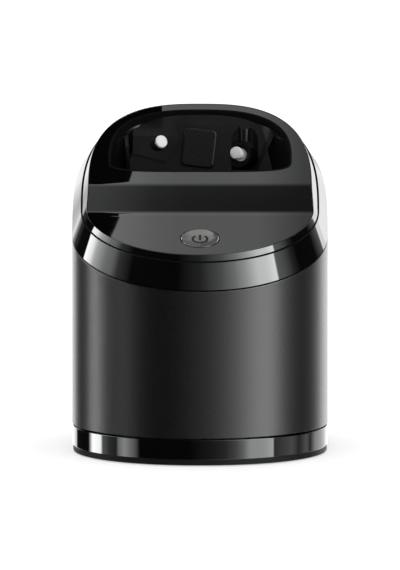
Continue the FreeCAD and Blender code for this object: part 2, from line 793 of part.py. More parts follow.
def lowered(profile, drop):
    """The same profile at another height."""
    shift = Vector(0, 0, -drop)
    copy = Profile.__new__(Profile)
    copy.parts = []
    for part in profile.parts:
        points = [value + shift if isinstance(value, Vector) else value for value in part[1:]]
        copy.parts.append((part[0], *points))
    return copy


def fascia():
    """Top panel: front panel, step, ledge and ring round the pocket, with the board posts."""
    outline = CROWN.inset(BEZEL_LAND + PANEL_GAP)
    low = TOP.at(FRONT_Y) - PANEL_DROP * 4
    panel = outline.prism(low, CEILING).common(TOP.slab(0, PANEL_DROP))
    mouth = POCKET.inset(-RIM_WALL - RUNNING_CLEARANCE)
    panel = panel.cut(mouth.prism(low - 1, CEILING + 1, RAIL_POINTS))
    guide_bore = BUTTON_RADIUS + BUTTON_FLANGE + SLIDE_CLEARANCE
    guide = panel_cylinder(guide_bore + GUIDE_WALL, -PANEL_WALL - GUIDE_LENGTH, -PANEL_WALL / 2)
    guide = guide.cut(panel_cylinder(guide_bore, -REACH, -PANEL_WALL))
    panel = panel.fuse(guide)
    for x, v in board_places():
        panel = panel.fuse(panel_cylinder(POST_RADIUS, -BOARD_DEPTH, -PANEL_WALL / 2, x, v))
        panel = panel.cut(panel_cylinder(SCREW_RADIUS, -REACH, -PANEL_WALL - 1, x, v))
    return panel.cut(panel_cylinder(BUTTON_HOLE, -REACH, REACH))


def pocket_rim():
    """Lining of the pocket's mouth, with a broken inner edge, just proud of the panel."""
    section = [
        (RIM_WALL, -POCKET_LIP),
        (RIM_WALL, RIM_CREST),
        (RIM_ROUND, RIM_CREST),
        (RIM_ROUND / 4, RIM_CREST - RIM_ROUND / 4),
        (0.0, RIM_CREST - RIM_ROUND),
        (0.0, -POCKET_LIP),
    ]
    return band(*[POCKET.inset(-out).edge(lowered(TOP, -up), RAIL_POINTS) for out, up in section])


def board_places():
    """Posts that carry the circuit board, in the frame of the front panel."""
    x = BOARD_HALF_WIDTH - POST_RADIUS
    v = BOARD_LENGTH / 2 - POST_RADIUS
    return [(sx * x, BOARD_SHIFT + sv * v) for sx in (-1, 1) for sv in (-1, 1)]


def deck_screw_places():
    """Screws that hold the deck on the apron's bosses."""
    outline = BODY.inset(DECK_SCREW_INSET)
    return [outline.point(math.radians(a)) for a in (40, 140, 220, 320)]


# ---- Wash bowl ----
def bowl_solid(grow, floor):
    """Solid form of the bowl, grown outward, with its floor at a height."""
    rim = POCKET.inset(-grow)
    upper = rim.prism(BOWL_SHOULDER_Z, CEILING)
    sections = [Part.Wire([BOWL.inset(-grow).edge(floor)]), Part.Wire([rim.edge(BOWL_SHOULDER_Z)])]
    return upper.fuse(Part.makeLoft(sections, True, True))


def wash_bowl():
    """Deep funnel under the pocket, with a drain spout and ribs that hold the shaving head."""
    bowl = bowl_solid(BOWL_WALL, BOWL_FLOOR_Z)
    spout = cylinder(SPOUT_RADIUS, BOWL_FLOOR_Z - SPOUT_LENGTH, BOWL_FLOOR_Z + 1, 0, BOWL_CENTRE_Y)
    bowl = bowl.fuse(spout).cut(bowl_solid(0, BOWL_FLOOR_Z + BOWL_WALL))
    drain = cylinder(SPOUT_RADIUS - BOWL_WALL, 0, BOWL_FLOOR_Z + HEAD_REST_HEIGHT, 0, BOWL_CENTRE_Y)
    bowl = bowl.cut(drain)
    bowl = bowl.cut(TOP.above(POCKET_LIP + SEAM_GAP))
    inside = BOWL.prism(BOWL_FLOOR_Z + BOWL_WALL / 2, BOWL_FLOOR_Z + BOWL_WALL + HEAD_REST_HEIGHT)
    for side in (-1, 1):
        x = side * BOWL_HALF_WIDTH / 2
        rib = box(x - HEAD_REST_WALL / 2, x + HEAD_REST_WALL / 2, -REACH, REACH, 0, CEILING)
        bowl = bowl.fuse(rib.common(inside))
    inlet = hose_points()[-1]
    spigot = Part.makeCylinder(HOSE_RADIUS, HOSE_RUN, inlet, Vector(0, 1, 0))
    bore = Part.makeCylinder(HOSE_BORE, HOSE_RUN, inlet, Vector(0, 1, 0))
    bowl = bowl.fuse(spigot.cut(bowl_solid(0, BOWL_FLOOR_Z + BOWL_WALL)))
    return bowl.cut(bore).removeSplitter()


# ---- Charging contacts ----
def contact_axis(side):
    """Direction in which a contact points: forward, up and towards the middle."""
    swing = math.radians(CONTACT_SWING)
    tilt = math.radians(CONTACT_TILT)
    across = -side * math.sin(swing) * math.cos(tilt)
    return Vector(across, -math.cos(swing) * math.cos(tilt), math.sin(tilt))


def contact_side(tip):
    """-1 for the left contact and 1 for the right one."""
    return math.copysign(1, tip.x)


def contact_frame(tip, back):
    """Point on a contact's axis, back from its tip."""
    return tip - contact_axis(contact_side(tip)) * back


def contact_cylinder(tip, radius, near, far):
    """Cylinder on a contact's axis, between two distances behind its tip."""
    axis = contact_axis(contact_side(tip))
    return Part.makeCylinder(radius, far - near, contact_frame(tip, far), axis)


def contact(tip):
    """Round head on a thin stem."""
    head = contact_cylinder(tip, CONTACT_RADIUS, 0, CONTACT_HEAD)
    face = [e for e in head.Edges if e.Closed and (e.CenterOfMass - tip).Length < 1e-3]
    head = head.makeFillet(CONTACT_EDGE, face)
    stem = contact_cylinder(tip, CONTACT_STEM_RADIUS, CONTACT_HEAD, CONTACT_HEAD + CONTACT_STEM)
    return head.fuse(stem).removeSplitter()


def contact_bore(tip):
    """Room for a contact and its travel."""
    depth = CONTACT_HEAD + CONTACT_TRAVEL + SEAT_GAP
    wide = contact_cylinder(tip, CONTACT_RADIUS + SLIDE_CLEARANCE, 0, depth)
    thin = contact_cylinder(tip, CONTACT_STEM_RADIUS + SLIDE_CLEARANCE, 0, depth + CONTACT_STEM)
    return wide.fuse(thin)


def carrier_facing():
    """Direction square to the leaning face of the carrier."""
    lean = math.radians(CARRIER_LEAN)
    return Vector(0, -math.cos(lean), math.sin(lean))


def contact_carrier():
    """Moulding on the back wall of the pocket that carries both contacts."""
    room = POCKET.inset(SEAM_GAP).prism(CARRIER_BOTTOM_Z, CEILING)
    room = room.cut(TOP.above(CARRIER_DROP))
    crown_z = MOUTH_REAR_Z - CARRIER_DROP
    fall = math.tan(math.radians(CARRIER_TOP_SLOPE)) * POCKET_REAR_DEPTH
    over = [
        Vector(-REACH, POCKET_REAR_Y, crown_z),
        Vector(-REACH, POCKET_CENTRE_Y, crown_z - fall),
        Vector(-REACH, POCKET_CENTRE_Y, CEILING),
        Vector(-REACH, POCKET_REAR_Y, CEILING),
    ]
    room = room.cut(Part.Face(Part.makePolygon(over + over[:1])).extrude(Vector(2 * REACH, 0, 0)))
    lean = math.tan(math.radians(CARRIER_LEAN))
    face_low = CARRIER_FACE_Y - (RIGHT_CONTACT.z - CARRIER_BOTTOM_Z) * lean
    face_high = CARRIER_FACE_Y + (CEILING - RIGHT_CONTACT.z) * lean
    side = [
        Vector(-REACH, face_low, CARRIER_BOTTOM_Z),
        Vector(-REACH, REACH, CARRIER_BOTTOM_Z),
        Vector(-REACH, REACH, CEILING),
        Vector(-REACH, face_high, CEILING),
    ]
    wedge = Part.Face(Part.makePolygon(side + side[:1])).extrude(Vector(2 * REACH, 0, 0))
    back = CARRIER_FACE_Y + RIGHT_NICHE_DEPTH
    half = RIGHT_NICHE_WIDTH / 2
    arch_z = RIGHT_NICHE_TOP - half
    niche = box(RIGHT_NICHE_X - half, RIGHT_NICHE_X + half, 0, back, RIGHT_NICHE_BOTTOM, arch_z)
    arch = Part.makeCylinder(half, back, Vector(RIGHT_NICHE_X, 0, arch_z), Vector(0, 1, 0))
    body = wedge.cut(niche.fuse(arch))
    channel = cylinder(CHANNEL_RADIUS, MOUTH_REAR_Z - CHANNEL_DROP, CEILING, RIGHT_NICHE_X, back)
    body = body.fuse(channel)
    seat = contact_cylinder(RIGHT_CONTACT, RIGHT_SEAT_RADIUS, CONTACT_OUT, BOSS_LENGTH)
    recess = contact_cylinder(RIGHT_CONTACT, RIGHT_SEAT_RECESS, -BOSS_LENGTH, CONTACT_HEAD)
    body = body.fuse(seat).cut(recess)
    corners = [Vector(across, up, 0) for across, up in LEFT_BOSS]
    length = Vector(0, 0, CONTACT_OUT - BOSS_LENGTH)
    block = Part.Face(Part.makePolygon(corners + corners[:1])).extrude(length)
    body = body.fuse(placed(block, contact_frame(LEFT_CONTACT, CONTACT_OUT), carrier_facing()))
    rib = box(-RIB_WALL / 2, RIB_WALL / 2, CARRIER_FACE_Y - RIB_DEPTH, REACH, 0, CEILING)
    for x, turn in ((LEFT_RIB_X, LEFT_RIB_TURN), (RIGHT_RIB_X, RIGHT_RIB_TURN)):
        leaning = rib.copy()
        leaning.translate(Vector(0, 0, -RIGHT_CONTACT.z))
        leaning.rotate(Vector(0, 0, 0), Vector(0, 1, 0), turn)
        leaning.translate(Vector(x, 0, RIGHT_CONTACT.z))
        body = body.fuse(leaning)
    body = body.common(room)
    body = body.cut(contact_bore(LEFT_CONTACT)).cut(contact_bore(RIGHT_CONTACT))
    return body.removeSplitter()


def centre_pad():
    """Soft pad between the contacts that the shaver's back leans on."""
    block = Part.makeBox(
        PAD_WIDTH, PAD_HEIGHT, PAD_THICKNESS, Vector(-PAD_WIDTH / 2, -PAD_HEIGHT / 2, 0)
    )
    block = block.makeFillet(PAD_CORNER, [e for e in block.Edges if along_axis(e, Vector(0, 0, 1))])
    block.rotate(Vector(0, 0, 0), Vector(0, 0, 1), -PAD_TURN)
    seat_y = CARRIER_FACE_Y + (PAD_Z - RIGHT_CONTACT.z) * math.tan(math.radians(CARRIER_LEAN))
    return placed(block, Vector(PAD_X, seat_y, PAD_Z), carrier_facing())


# ---- Chassis ----
def chassis():
    """Deck with two guide sleeves, latch guides and the post of the release spring."""
    deck = BODY.inset(APRON_WALL + SEAM_GAP).prism(DECK_Z, DECK_TOP_Z)
    for x, y in column_places():
        deck = deck.fuse(cylinder(SLEEVE_RADIUS, SLEEVE_BOTTOM_Z, DECK_TOP_Z, x, y))
    for side in (-1, 1):
        x, y = BODY.inset(FORK_INSET + FORK_WIDTH / 2).point(math.radians(90 - side * 60))
        deck = deck.fuse(cylinder(FORK_WIDTH / 2, DECK_TOP_Z - 1, fork_bottom() - SEAT_GAP, x, y))
    post_top = RELEASE_Z + RELEASE_SPRING_RADIUS * 2
    half = RELEASE_SPRING_RADIUS * 2
    deck = deck.fuse(box(-half, half, LATCH_POST_Y - BOWL_WALL, LATCH_POST_Y, DECK_Z + 1, post_top))
    for x, y in column_places():
        deck = deck.cut(cylinder(SLEEVE_BORE, 0, CEILING, x, y))
    for x, y in deck_screw_places():
        deck = deck.cut(cylinder(SCREW_RADIUS, 0, CEILING, x, y))
    deck = deck.cut(cylinder(SPOUT_RADIUS + SEAM_GAP, 0, DECK_TOP_Z + 1, 0, BOWL_CENTRE_Y))
    deck = deck.cut(cylinder(INTAKE_RADIUS + RUNNING_CLEARANCE, 0, DECK_TOP_Z + 1, PUMP_X, PUMP_Y))
    return deck.removeSplitter()


def guide_bushes():
    """Slide bushes at both ends of each sleeve."""
    rings = []
    for x, y in column_places():
        for bottom in (SLEEVE_BOTTOM_Z, DECK_TOP_Z - BUSH_LENGTH):
            rings.append(tube(SLEEVE_BORE, BUSH_BORE, bottom, bottom + BUSH_LENGTH, x, y))
    return Part.makeCompound(rings)


def deck_screws():
    """Screws through the deck into the apron's bosses."""
    length = DECK_THICKNESS + DECK_BOSS_HEIGHT
    return Part.makeCompound([screw(x, y, DECK_TOP_Z, length) for x, y in deck_screw_places()])


# ---- Pump ----
VOLUTE_TOP_Z = DECK_TOP_Z + VOLUTE_HEIGHT
CHAMBER_LOW_Z = DECK_TOP_Z + VOLUTE_WALL
MOTOR_BOTTOM_Z = VOLUTE_TOP_Z
MOTOR_TOP_Z = MOTOR_BOTTOM_Z + MOTOR_LENGTH
HOSE_X = PUMP_X + VOLUTE_RADIUS - VOLUTE_WALL - HOSE_RADIUS
HOSE_Z = (DECK_TOP_Z + VOLUTE_TOP_Z) / 2


def hose_points():
    """Corners of the hose, from the pump's outlet to the bowl's inlet."""
    start_y = PUMP_Y + VOLUTE_RADIUS + HOSE_RADIUS
    return [
        Vector(HOSE_X, start_y, HOSE_Z),
        Vector(HOSE_X, start_y + HOSE_RUN, HOSE_Z),
        Vector(HOSE_X, start_y + HOSE_RUN, HOSE_Z + HOSE_RISE),
        Vector(HOSE_X, BOWL_CENTRE_Y - BOWL_FRONT_DEPTH - HOSE_RADIUS * 2, HOSE_Z + HOSE_RISE),
    ]


def pump_housing():
    """Flat round pump chamber with a tangential outlet."""
    body = cylinder(VOLUTE_RADIUS, DECK_TOP_Z, VOLUTE_TOP_Z, PUMP_X, PUMP_Y)
    start = hose_points()[0]
    outlet = Part.makeCylinder(HOSE_RADIUS, start.y - PUMP_Y, Vector(HOSE_X, PUMP_Y, HOSE_Z), Vector(0, 1, 0))
    body = body.fuse(outlet)
    chamber_top = VOLUTE_TOP_Z - VOLUTE_WALL
    body = body.cut(cylinder(VOLUTE_RADIUS - VOLUTE_WALL, CHAMBER_LOW_Z, chamber_top, PUMP_X, PUMP_Y))
    body = body.cut(cylinder(INTAKE_BORE, 0, CHAMBER_LOW_Z + 1, PUMP_X, PUMP_Y))
    body = body.cut(cylinder(SHAFT_RADIUS + RUNNING_CLEARANCE, HOSE_Z, CEILING, PUMP_X, PUMP_Y))
    bore = Part.makeCylinder(HOSE_BORE, start.y - PUMP_Y + 1, Vector(HOSE_X, PUMP_Y, HOSE_Z), Vector(0, 1, 0))
    return body.cut(bore)


def impeller():
    """Disc with straight radial vanes on a hub."""
    bottom = CHAMBER_LOW_Z + SEAT_GAP
    vane_top = bottom + IMPELLER_DISC + VANE_HEIGHT
    hub = cylinder(HUB_RADIUS, bottom, vane_top, PUMP_X, PUMP_Y)
    wheel = cylinder(IMPELLER_RADIUS, bottom, bottom + IMPELLER_DISC, PUMP_X, PUMP_Y).fuse(hub)
    for step in range(VANES):
        vane = box(0, IMPELLER_RADIUS, -VANE_WALL / 2, VANE_WALL / 2, bottom, vane_top)
        vane.rotate(Vector(0, 0, 0), Vector(0, 0, 1), 360 * step / VANES)
        vane.translate(Vector(PUMP_X, PUMP_Y, 0))
        wheel = wheel.fuse(vane.common(cylinder(IMPELLER_RADIUS, 0, CEILING, PUMP_X, PUMP_Y)))
    return wheel.cut(cylinder(SHAFT_RADIUS, 0, CEILING, PUMP_X, PUMP_Y)).removeSplitter()


def rotor_shaft():
    """Motor shaft with the impeller at its lower end."""
    bottom = CHAMBER_LOW_Z + SEAT_GAP
    return cylinder(SHAFT_RADIUS, bottom, MOTOR_TOP_Z + SHAFT_END, PUMP_X, PUMP_Y)


def pump_motor():
    """Small motor: can, end cap and bearing boss."""
    can = cylinder(MOTOR_RADIUS, MOTOR_BOTTOM_Z, MOTOR_TOP_Z - MOTOR_CAP, PUMP_X, PUMP_Y)
    cap = cylinder(MOTOR_RADIUS - 1, MOTOR_TOP_Z - MOTOR_CAP, MOTOR_TOP_Z - MOTOR_CAP / 2, PUMP_X, PUMP_Y)
    boss = cylinder(SHAFT_RADIUS * 3, MOTOR_TOP_Z - MOTOR_CAP / 2, MOTOR_TOP_Z, PUMP_X, PUMP_Y)
    can = can.fuse(cap).fuse(boss)
    for side in (-1, 1):
        flat = box(-REACH, REACH, 0, REACH, MOTOR_BOTTOM_Z, MOTOR_TOP_Z + OVERRUN)
        flat.translate(Vector(0, MOTOR_RADIUS - MOTOR_FLAT, 0))
        flat.rotate(Vector(0, 0, 0), Vector(0, 0, 1), 90 * side)
        flat.translate(Vector(PUMP_X, PUMP_Y, 0))
        can = can.cut(flat)
    return can.cut(cylinder(SHAFT_RADIUS + RUNNING_CLEARANCE, 0, CEILING, PUMP_X, PUMP_Y)).removeSplitter()


def motor_clip():
    """Bridge that holds the motor down on the deck."""
    half = VOLUTE_RADIUS + SEAM_GAP
    top = MOTOR_BOTTOM_Z + CLIP_HEIGHT
    ring = box(-half - CLIP_WALL, half + CLIP_WALL, -CLIP_HEIGHT / 2, CLIP_HEIGHT / 2, top - CLIP_WALL, top)
    legs = []
    for side in (-1, 1):
        x0 = side * (half + CLIP_WALL / 2) - CLIP_WALL / 2
        legs.append(box(x0, x0 + CLIP_WALL, -CLIP_HEIGHT / 2, CLIP_HEIGHT / 2, DECK_TOP_Z, top))
    hoop = cylinder(MOTOR_RADIUS + RUNNING_CLEARANCE + CLIP_WALL, top - CLIP_WALL, top)
    clip = ring.multiFuse(legs + [hoop])
    clip.rotate(Vector(0, 0, 0), Vector(0, 0, 1), -45)
    clip.translate(Vector(PUMP_X, PUMP_Y, 0))
    return clip.cut(cylinder(MOTOR_RADIUS + RUNNING_CLEARANCE, 0, CEILING, PUMP_X, PUMP_Y))


def intake_pipe():
    """Straight pipe from the pump down into the cartridge."""
    return tube(INTAKE_RADIUS, INTAKE_BORE, INTAKE_BOTTOM_Z, DECK_TOP_Z, PUMP_X, PUMP_Y)


# ---- Start button, board and switch ----
BOARD_TOP_N = -BOARD_DEPTH
SWITCH_TOP_N = BOARD_TOP_N + SWITCH_HEIGHT


def start_button():
    """Dished round cap with a flange under the panel and a stem on the switch."""
    flange_top = -PANEL_WALL - SLIDE_CLEARANCE
    cap = panel_cylinder(BUTTON_RADIUS, flange_top - BUTTON_FLANGE_THICKNESS, BUTTON_PROUD)
    flange = panel_cylinder(
        BUTTON_RADIUS + BUTTON_FLANGE, flange_top - BUTTON_FLANGE_THICKNESS, flange_top
    )
    stem_low = SWITCH_TOP_N + BUTTON_TRAVEL + SEAT_GAP
    stem = panel_cylinder(BUTTON_STEM_RADIUS, stem_low, flange_top)
    dish = Part.makeSphere(DISH_RADIUS, on_panel(0, 0, DISH_RADIUS + BUTTON_PROUD - BUTTON_FLANGE / 4))
    return cap.fuse(flange).fuse(stem).cut(dish).removeSplitter()


def switch_plunger():
    """Plunger of the switch, which goes down with the button."""
    low = SWITCH_TOP_N - BUTTON_TRAVEL
    return panel_cylinder(PLUNGER_RADIUS, low, SWITCH_TOP_N + BUTTON_TRAVEL + SEAT_GAP)


def start_switch():
    """Body of the push switch on the board."""
    half = SWITCH_SIZE / 2
    body = panel_block(-half, half, -half, half, BOARD_TOP_N, SWITCH_TOP_N)
    depth = SWITCH_TOP_N - 2 * BUTTON_TRAVEL - SEAT_GAP
    return body.cut(panel_cylinder(PLUNGER_RADIUS + RUNNING_CLEARANCE, depth, SWITCH_TOP_N + 1))


def circuit_board():
    """Board under the front panel, with a connector and a processor."""
    low = BOARD_TOP_N - BOARD_THICKNESS
    front = BOARD_SHIFT - BOARD_LENGTH / 2
    back = BOARD_SHIFT + BOARD_LENGTH / 2
    board = panel_block(-BOARD_HALF_WIDTH, BOARD_HALF_WIDTH, front, back, low, BOARD_TOP_N)
    reach = BUTTON_HOLE + BUTTON_FLANGE
    chip = panel_block(
        reach, reach + CHIP_SIZE, -CHIP_SIZE / 2, CHIP_SIZE / 2, BOARD_TOP_N, BOARD_TOP_N + CHIP_HEIGHT
    )
    plug = panel_block(
        -reach - PLUG_WIDTH, -reach, 0, PLUG_LENGTH, BOARD_TOP_N, BOARD_TOP_N + PLUG_HEIGHT
    )
    board = board.fuse(chip).fuse(plug)
    for x, v in board_places():
        board = board.cut(panel_cylinder(SCREW_RADIUS, -REACH, 0, x, v))
    return board


def board_screws():
    """Screws that hold the board on its posts."""
    screws = []
    seat = BOARD_TOP_N - BOARD_THICKNESS
    for x, v in board_places():
        head = panel_cylinder(SCREW_HEAD_RADIUS, seat - SCREW_HEAD, seat, x, v)
        shank = panel_cylinder(SCREW_RADIUS, seat, seat + SCREW_LENGTH, x, v)
        screws.append(head.fuse(shank))
    return Part.makeCompound(screws)


# ---- Release button and latch fork ----
def fork_bottom():
    """Underside of the latch fork."""
    return RELEASE_Z - FORK_THICKNESS / 2


def release_block(grow, corner, y0, y1):
    """Rounded block through the back of the housing."""
    width = RELEASE_WIDTH + 2 * grow
    height = RELEASE_HEIGHT + 2 * grow
    return rounded_block(width, height, corner + grow, y0, y1, 0, RELEASE_Z)


def release_button():
    """Push button at the back, with a flange inside the apron and a stem to the fork."""
    face = REAR_Y - RELEASE_RECESS
    inner = REAR_Y - APRON_WALL - SLIDE_CLEARANCE - RELEASE_CROWN
    cap = release_block(0, RELEASE_CORNER, inner - RELEASE_FLANGE, face)
    flange = release_block(RELEASE_FLANGE + BUTTON_CLEARANCE, RELEASE_CORNER, inner - RELEASE_FLANGE, inner)
    fork_back = BODY.inset(FORK_INSET).depth_at(0)
    stem = Part.makeCylinder(
        RELEASE_SPRING_RADIUS, inner - fork_back, Vector(0, fork_back, RELEASE_Z), Vector(0, 1, 0)
    )
    return cap.fuse(flange).fuse(stem).removeSplitter()


def latch_fork():
    """U-shaped plate whose two ears grip the notches of the columns."""
    low = fork_bottom()
    top = low + FORK_THICKNESS
    outer = BODY.inset(FORK_INSET)
    plate = outer.prism(low, top).cut(outer.inset(FORK_WIDTH).prism(low - 1, top + 1))
    plate = plate.cut(box(-REACH, REACH, -REACH, FORK_FRONT_Y, 0, CEILING))
    ear_limit = BODY.inset(APRON_WALL + 2 * SLIDE_CLEARANCE).prism(low, top)
    for x, y in column_places():
        ear = box(
            x - SLEEVE_RADIUS - SLEEVE_WALL,
            x + SLEEVE_RADIUS,
            FORK_FRONT_Y,
            FORK_FRONT_Y + FORK_EAR_LENGTH,
            low,
            top,
        )
        plate = plate.fuse(ear.common(ear_limit))
    for x, y in column_places():
        bore = COLUMN_RADIUS + SLIDE_CLEARANCE
        back = y + RELEASE_TRAVEL
        slot = cylinder(bore, 0, CEILING, x, y).fuse(cylinder(bore, 0, CEILING, x, back))
        slot = slot.fuse(box(x - bore, x + bore, y, back, 0, CEILING))
        plate = plate.cut(slot)
    return plate.removeSplitter()


def release_spring():
    """Spring that pushes the fork and the button back out."""
    start = LATCH_POST_Y + RUNNING_CLEARANCE
    end = BODY.inset(FORK_INSET + FORK_WIDTH).depth_at(0) - RUNNING_CLEARANCE
    spring = coil(RELEASE_SPRING_RADIUS, RELEASE_SPRING_WIRE, RELEASE_SPRING_TURNS, end - start)
    spring.rotate(Vector(0, 0, 0), Vector(1, 0, 0), -90)
    spring.translate(Vector(0, start, RELEASE_Z))
    return spring


# ---- Power socket ----
def socket_block(grow, length):
    """Block along Y at the place of the socket."""
    return rounded_block(
        SOCKET_WIDTH + 2 * grow,
        SOCKET_HEIGHT + 2 * grow,
        SOCKET_CORNER,
        SOCKET_FACE_Y - SOCKET_LENGTH,
        SOCKET_FACE_Y - SOCKET_LENGTH + length,
        SOCKET_X,
        SOCKET_Z,
    )


def power_socket():
    """Two-pole inlet, set into the back of the apron."""
    body = socket_block(0, SOCKET_LENGTH)
    opening = rounded_block(
        SOCKET_OPENING_WIDTH,
        SOCKET_OPENING_HEIGHT,
        SOCKET_OPENING_HEIGHT / 2 - RUNNING_CLEARANCE,
        SOCKET_FACE_Y - SOCKET_OPENING_DEPTH,
        REACH,
        SOCKET_X,
        SOCKET_Z,
    )
    return body.cut(opening)


def socket_pins():
    """Two contact pins inside the socket."""
    pins = []
    start = SOCKET_FACE_Y - SOCKET_OPENING_DEPTH
    for side in (-1, 1):
        foot = Vector(SOCKET_X + side * SOCKET_PIN_PITCH / 2, start, SOCKET_Z)
        pins.append(Part.makeCylinder(SOCKET_PIN_RADIUS, SOCKET_PIN_LENGTH, foot, Vector(0, 1, 0)))
    return Part.makeCompound(pins)


LEFT, RIGHT = column_places()
NODES = {
    "base_plate": base_plate,
    "trim_band": trim_band,
    "rubber_feet": rubber_feet,
    "guide_column_left": lambda: guide_column(*LEFT),
    "guide_column_right": lambda: guide_column(*RIGHT),
    "column_screws": column_screws,
    "lift_spring_left": lambda: lift_spring(*LEFT),
    "lift_spring_right": lambda: lift_spring(*RIGHT),
    "cartridge_tub": cartridge_tub,
    "cartridge_top": cartridge_top,
    "cartridge_grip": cartridge_grip,
    "apron": apron,
    "collar": collar,
    "bezel": bezel,
    "fascia": fascia,
    "pocket_rim": pocket_rim,
    "wash_bowl": wash_bowl,
    "contact_carrier": contact_carrier,
    "centre_pad": centre_pad,
    "contact_left": lambda: contact(LEFT_CONTACT),
    "contact_right": lambda: contact(RIGHT_CONTACT),
    "chassis": chassis,
    "guide_bushes": guide_bushes,
    "deck_screws": deck_screws,
    "pump_housing": pump_housing,
    "impeller": impeller,
    "rotor_shaft": rotor_shaft,
    "pump_motor": pump_motor,
    "motor_clip": motor_clip,
    "intake_pipe": intake_pipe,
    "pump_hose": lambda: pipe(hose_points(), HOSE_BEND, HOSE_RADIUS, HOSE_BORE),
    "start_button": start_button,
    "switch_plunger": switch_plunger,
    "start_switch": start_switch,
    "circuit_board": circuit_board,
    "board_screws": board_screws,
    "release_button": release_button,
    "latch_fork": latch_fork,
    "release_spring": release_spring,
    "power_socket": power_socket,
    "socket_pins": socket_pins,
}

os.makedirs("parts", exist_ok=True)
for name, make in NODES.items():
    make().exportStep("parts/" + name + ".step")
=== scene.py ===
import json
import math

import bmesh
import bpy
from mathutils import Matrix, Vector


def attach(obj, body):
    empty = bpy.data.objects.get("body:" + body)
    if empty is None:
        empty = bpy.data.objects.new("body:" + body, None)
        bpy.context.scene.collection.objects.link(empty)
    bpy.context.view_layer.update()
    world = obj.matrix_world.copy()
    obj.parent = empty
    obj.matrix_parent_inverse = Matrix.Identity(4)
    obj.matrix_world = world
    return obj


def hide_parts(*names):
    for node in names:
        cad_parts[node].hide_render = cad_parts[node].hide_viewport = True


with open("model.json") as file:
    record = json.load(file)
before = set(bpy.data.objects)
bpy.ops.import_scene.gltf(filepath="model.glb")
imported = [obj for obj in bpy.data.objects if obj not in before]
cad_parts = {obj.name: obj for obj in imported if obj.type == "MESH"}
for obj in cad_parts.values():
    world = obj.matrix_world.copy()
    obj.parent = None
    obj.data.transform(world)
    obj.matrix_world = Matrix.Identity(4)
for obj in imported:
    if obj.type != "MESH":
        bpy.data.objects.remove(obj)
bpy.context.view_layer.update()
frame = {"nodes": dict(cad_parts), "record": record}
scene = bpy.context.scene

# ---- Camera ----
# Long lens, square to the front and a little above it, aimed at the middle of the housing.
camera_aim = Vector((0.0, -0.005, 0.08465))
camera_rise = math.radians(8.5)
camera_distance = 12.0
view_height = 0.2898
lens = bpy.data.cameras.new("camera")
lens.sensor_fit = "VERTICAL"
lens.sensor_height = 24.0
lens.lens = lens.sensor_height * camera_distance / view_height
lens.clip_end = 60.0
camera = bpy.data.objects.new("camera", lens)
camera.location = camera_aim + camera_distance * Vector(
    (0.0, -math.cos(camera_rise), math.sin(camera_rise))
)
camera.rotation_euler = (math.radians(90) - camera_rise, 0.0, 0.0)
scene.collection.objects.link(camera)
scene.camera = camera
scene.view_settings.view_transform = "Standard"


# ---- Studio: softboxes, floor, card and flags ----
# A tall softbox on the right that grows brighter towards its outer edge, a window on the left,
# black felt between them and white behind. The gloss parts see them drawn in the world by
# compass direction, 0 degrees in front and the right side positive; all else gets plain light.
def add_node(tree, kind, sockets=None, links=None, **settings):
    """Node with its socket values, its links and its settings."""
    made = tree.nodes.new(kind)
    for name, value in settings.items():
        setattr(made, name, value)
    for socket, value in (sockets or {}).items():
        made.inputs[socket].default_value = value
    for socket, source in (links or {}).items():
        tree.links.new(source, made.inputs[socket])
    return made


def set_stops(node, stops):
    """Stops of a colour ramp, each a position and a grey or a colour."""
    ramp = node.color_ramp
    while len(ramp.elements) > 1:
        ramp.elements.remove(ramp.elements[-1])
    for number, (position, colour) in enumerate(stops):
        stop = ramp.elements[0] if number == 0 else ramp.elements.new(position)
        stop.position = position
        stop.color = (colour, colour, colour, 1.0) if isinstance(colour, float) else colour


plain_light, brightest = 0.9, 16.0
rounds = {
    "upper": [
        (-180, 0.1), (-160, 0.3), (-151, 6.0), (-145, 2.8), (-142, 0.3), (-131, 0.02), (-113.5, 0.02),
        (-112.5, 14.0), (-104, 13.0), (-97, 6.5), (-82, 3.0), (-73, 2.3), (-66, 0.6), (-52, 0.02),
        (-14, 0.01), (0, 0.3), (13, 1.4), (23, 3.2), (32, 6.0), (42, 10.8), (51, 11.8), (59.5, 15.0),
        (60.5, 1.9), (67, 1.5), (78, 0.3), (86, 0.02), (113, 0.02), (131, 0.8), (133, 6.0), (141, 4.2),
        (153, 3.2), (160, 0.3),
    ],
    "middle": [
        (-180, 0.6), (-164, 2.0), (-158, 2.6), (-152, 2.1), (-149, 1.3), (-146, 0.5),
        (-140, 0.1), (-118, 0.1), (-106, 0.5), (-92, 0.5), (-70, 0.4),
        (-45, 0.15), (-25, 0.03), (-10, 0.1), (2, 0.35), (15, 0.8), (28, 1.8), (38, 3.4), (46, 5.0),
        (60, 5.4), (67, 1.2), (80, 0.1), (100, 0.05), (115, 0.2), (130, 0.4), (138, 2.5), (143, 4.3),
        (152, 3.0), (156, 2.5), (163, 2.0), (170, 0.9), (180, 0.6),
    ],
    "low": [
        (-180, 2.2), (-149, 2.2), (-145, 0.02), (-114, 0.02),
        (-111, 4.0), (-106, 15.0), (-93, 15.0), (-90, 1.5), (-80, 0.45), (-71, 0.25), (-69, 2.6),
        (-62, 4.8), (-50, 1.4), (-47, 0.01), (-6, 0.01), (9, 0.2), (17, 0.4), (25, 1.1), (31, 2.4),
        (37, 5.4), (50, 5.8), (59.5, 7.6), (60.5, 0.5), (82, 1.2), (92, 0.3), (105, 1.1), (112, 0.2),
        (123, 2.0), (180, 2.2),
    ],
    "zenith": [(-180, 0.6)],
}
world = bpy.data.worlds.new("studio")
scene.world = world
world.use_nodes = True
tree = world.node_tree
tree.nodes.clear()
direction = add_node(tree, "ShaderNodeTexCoord")
axes = add_node(tree, "ShaderNodeSeparateXYZ", links={0: direction.outputs["Generated"]})
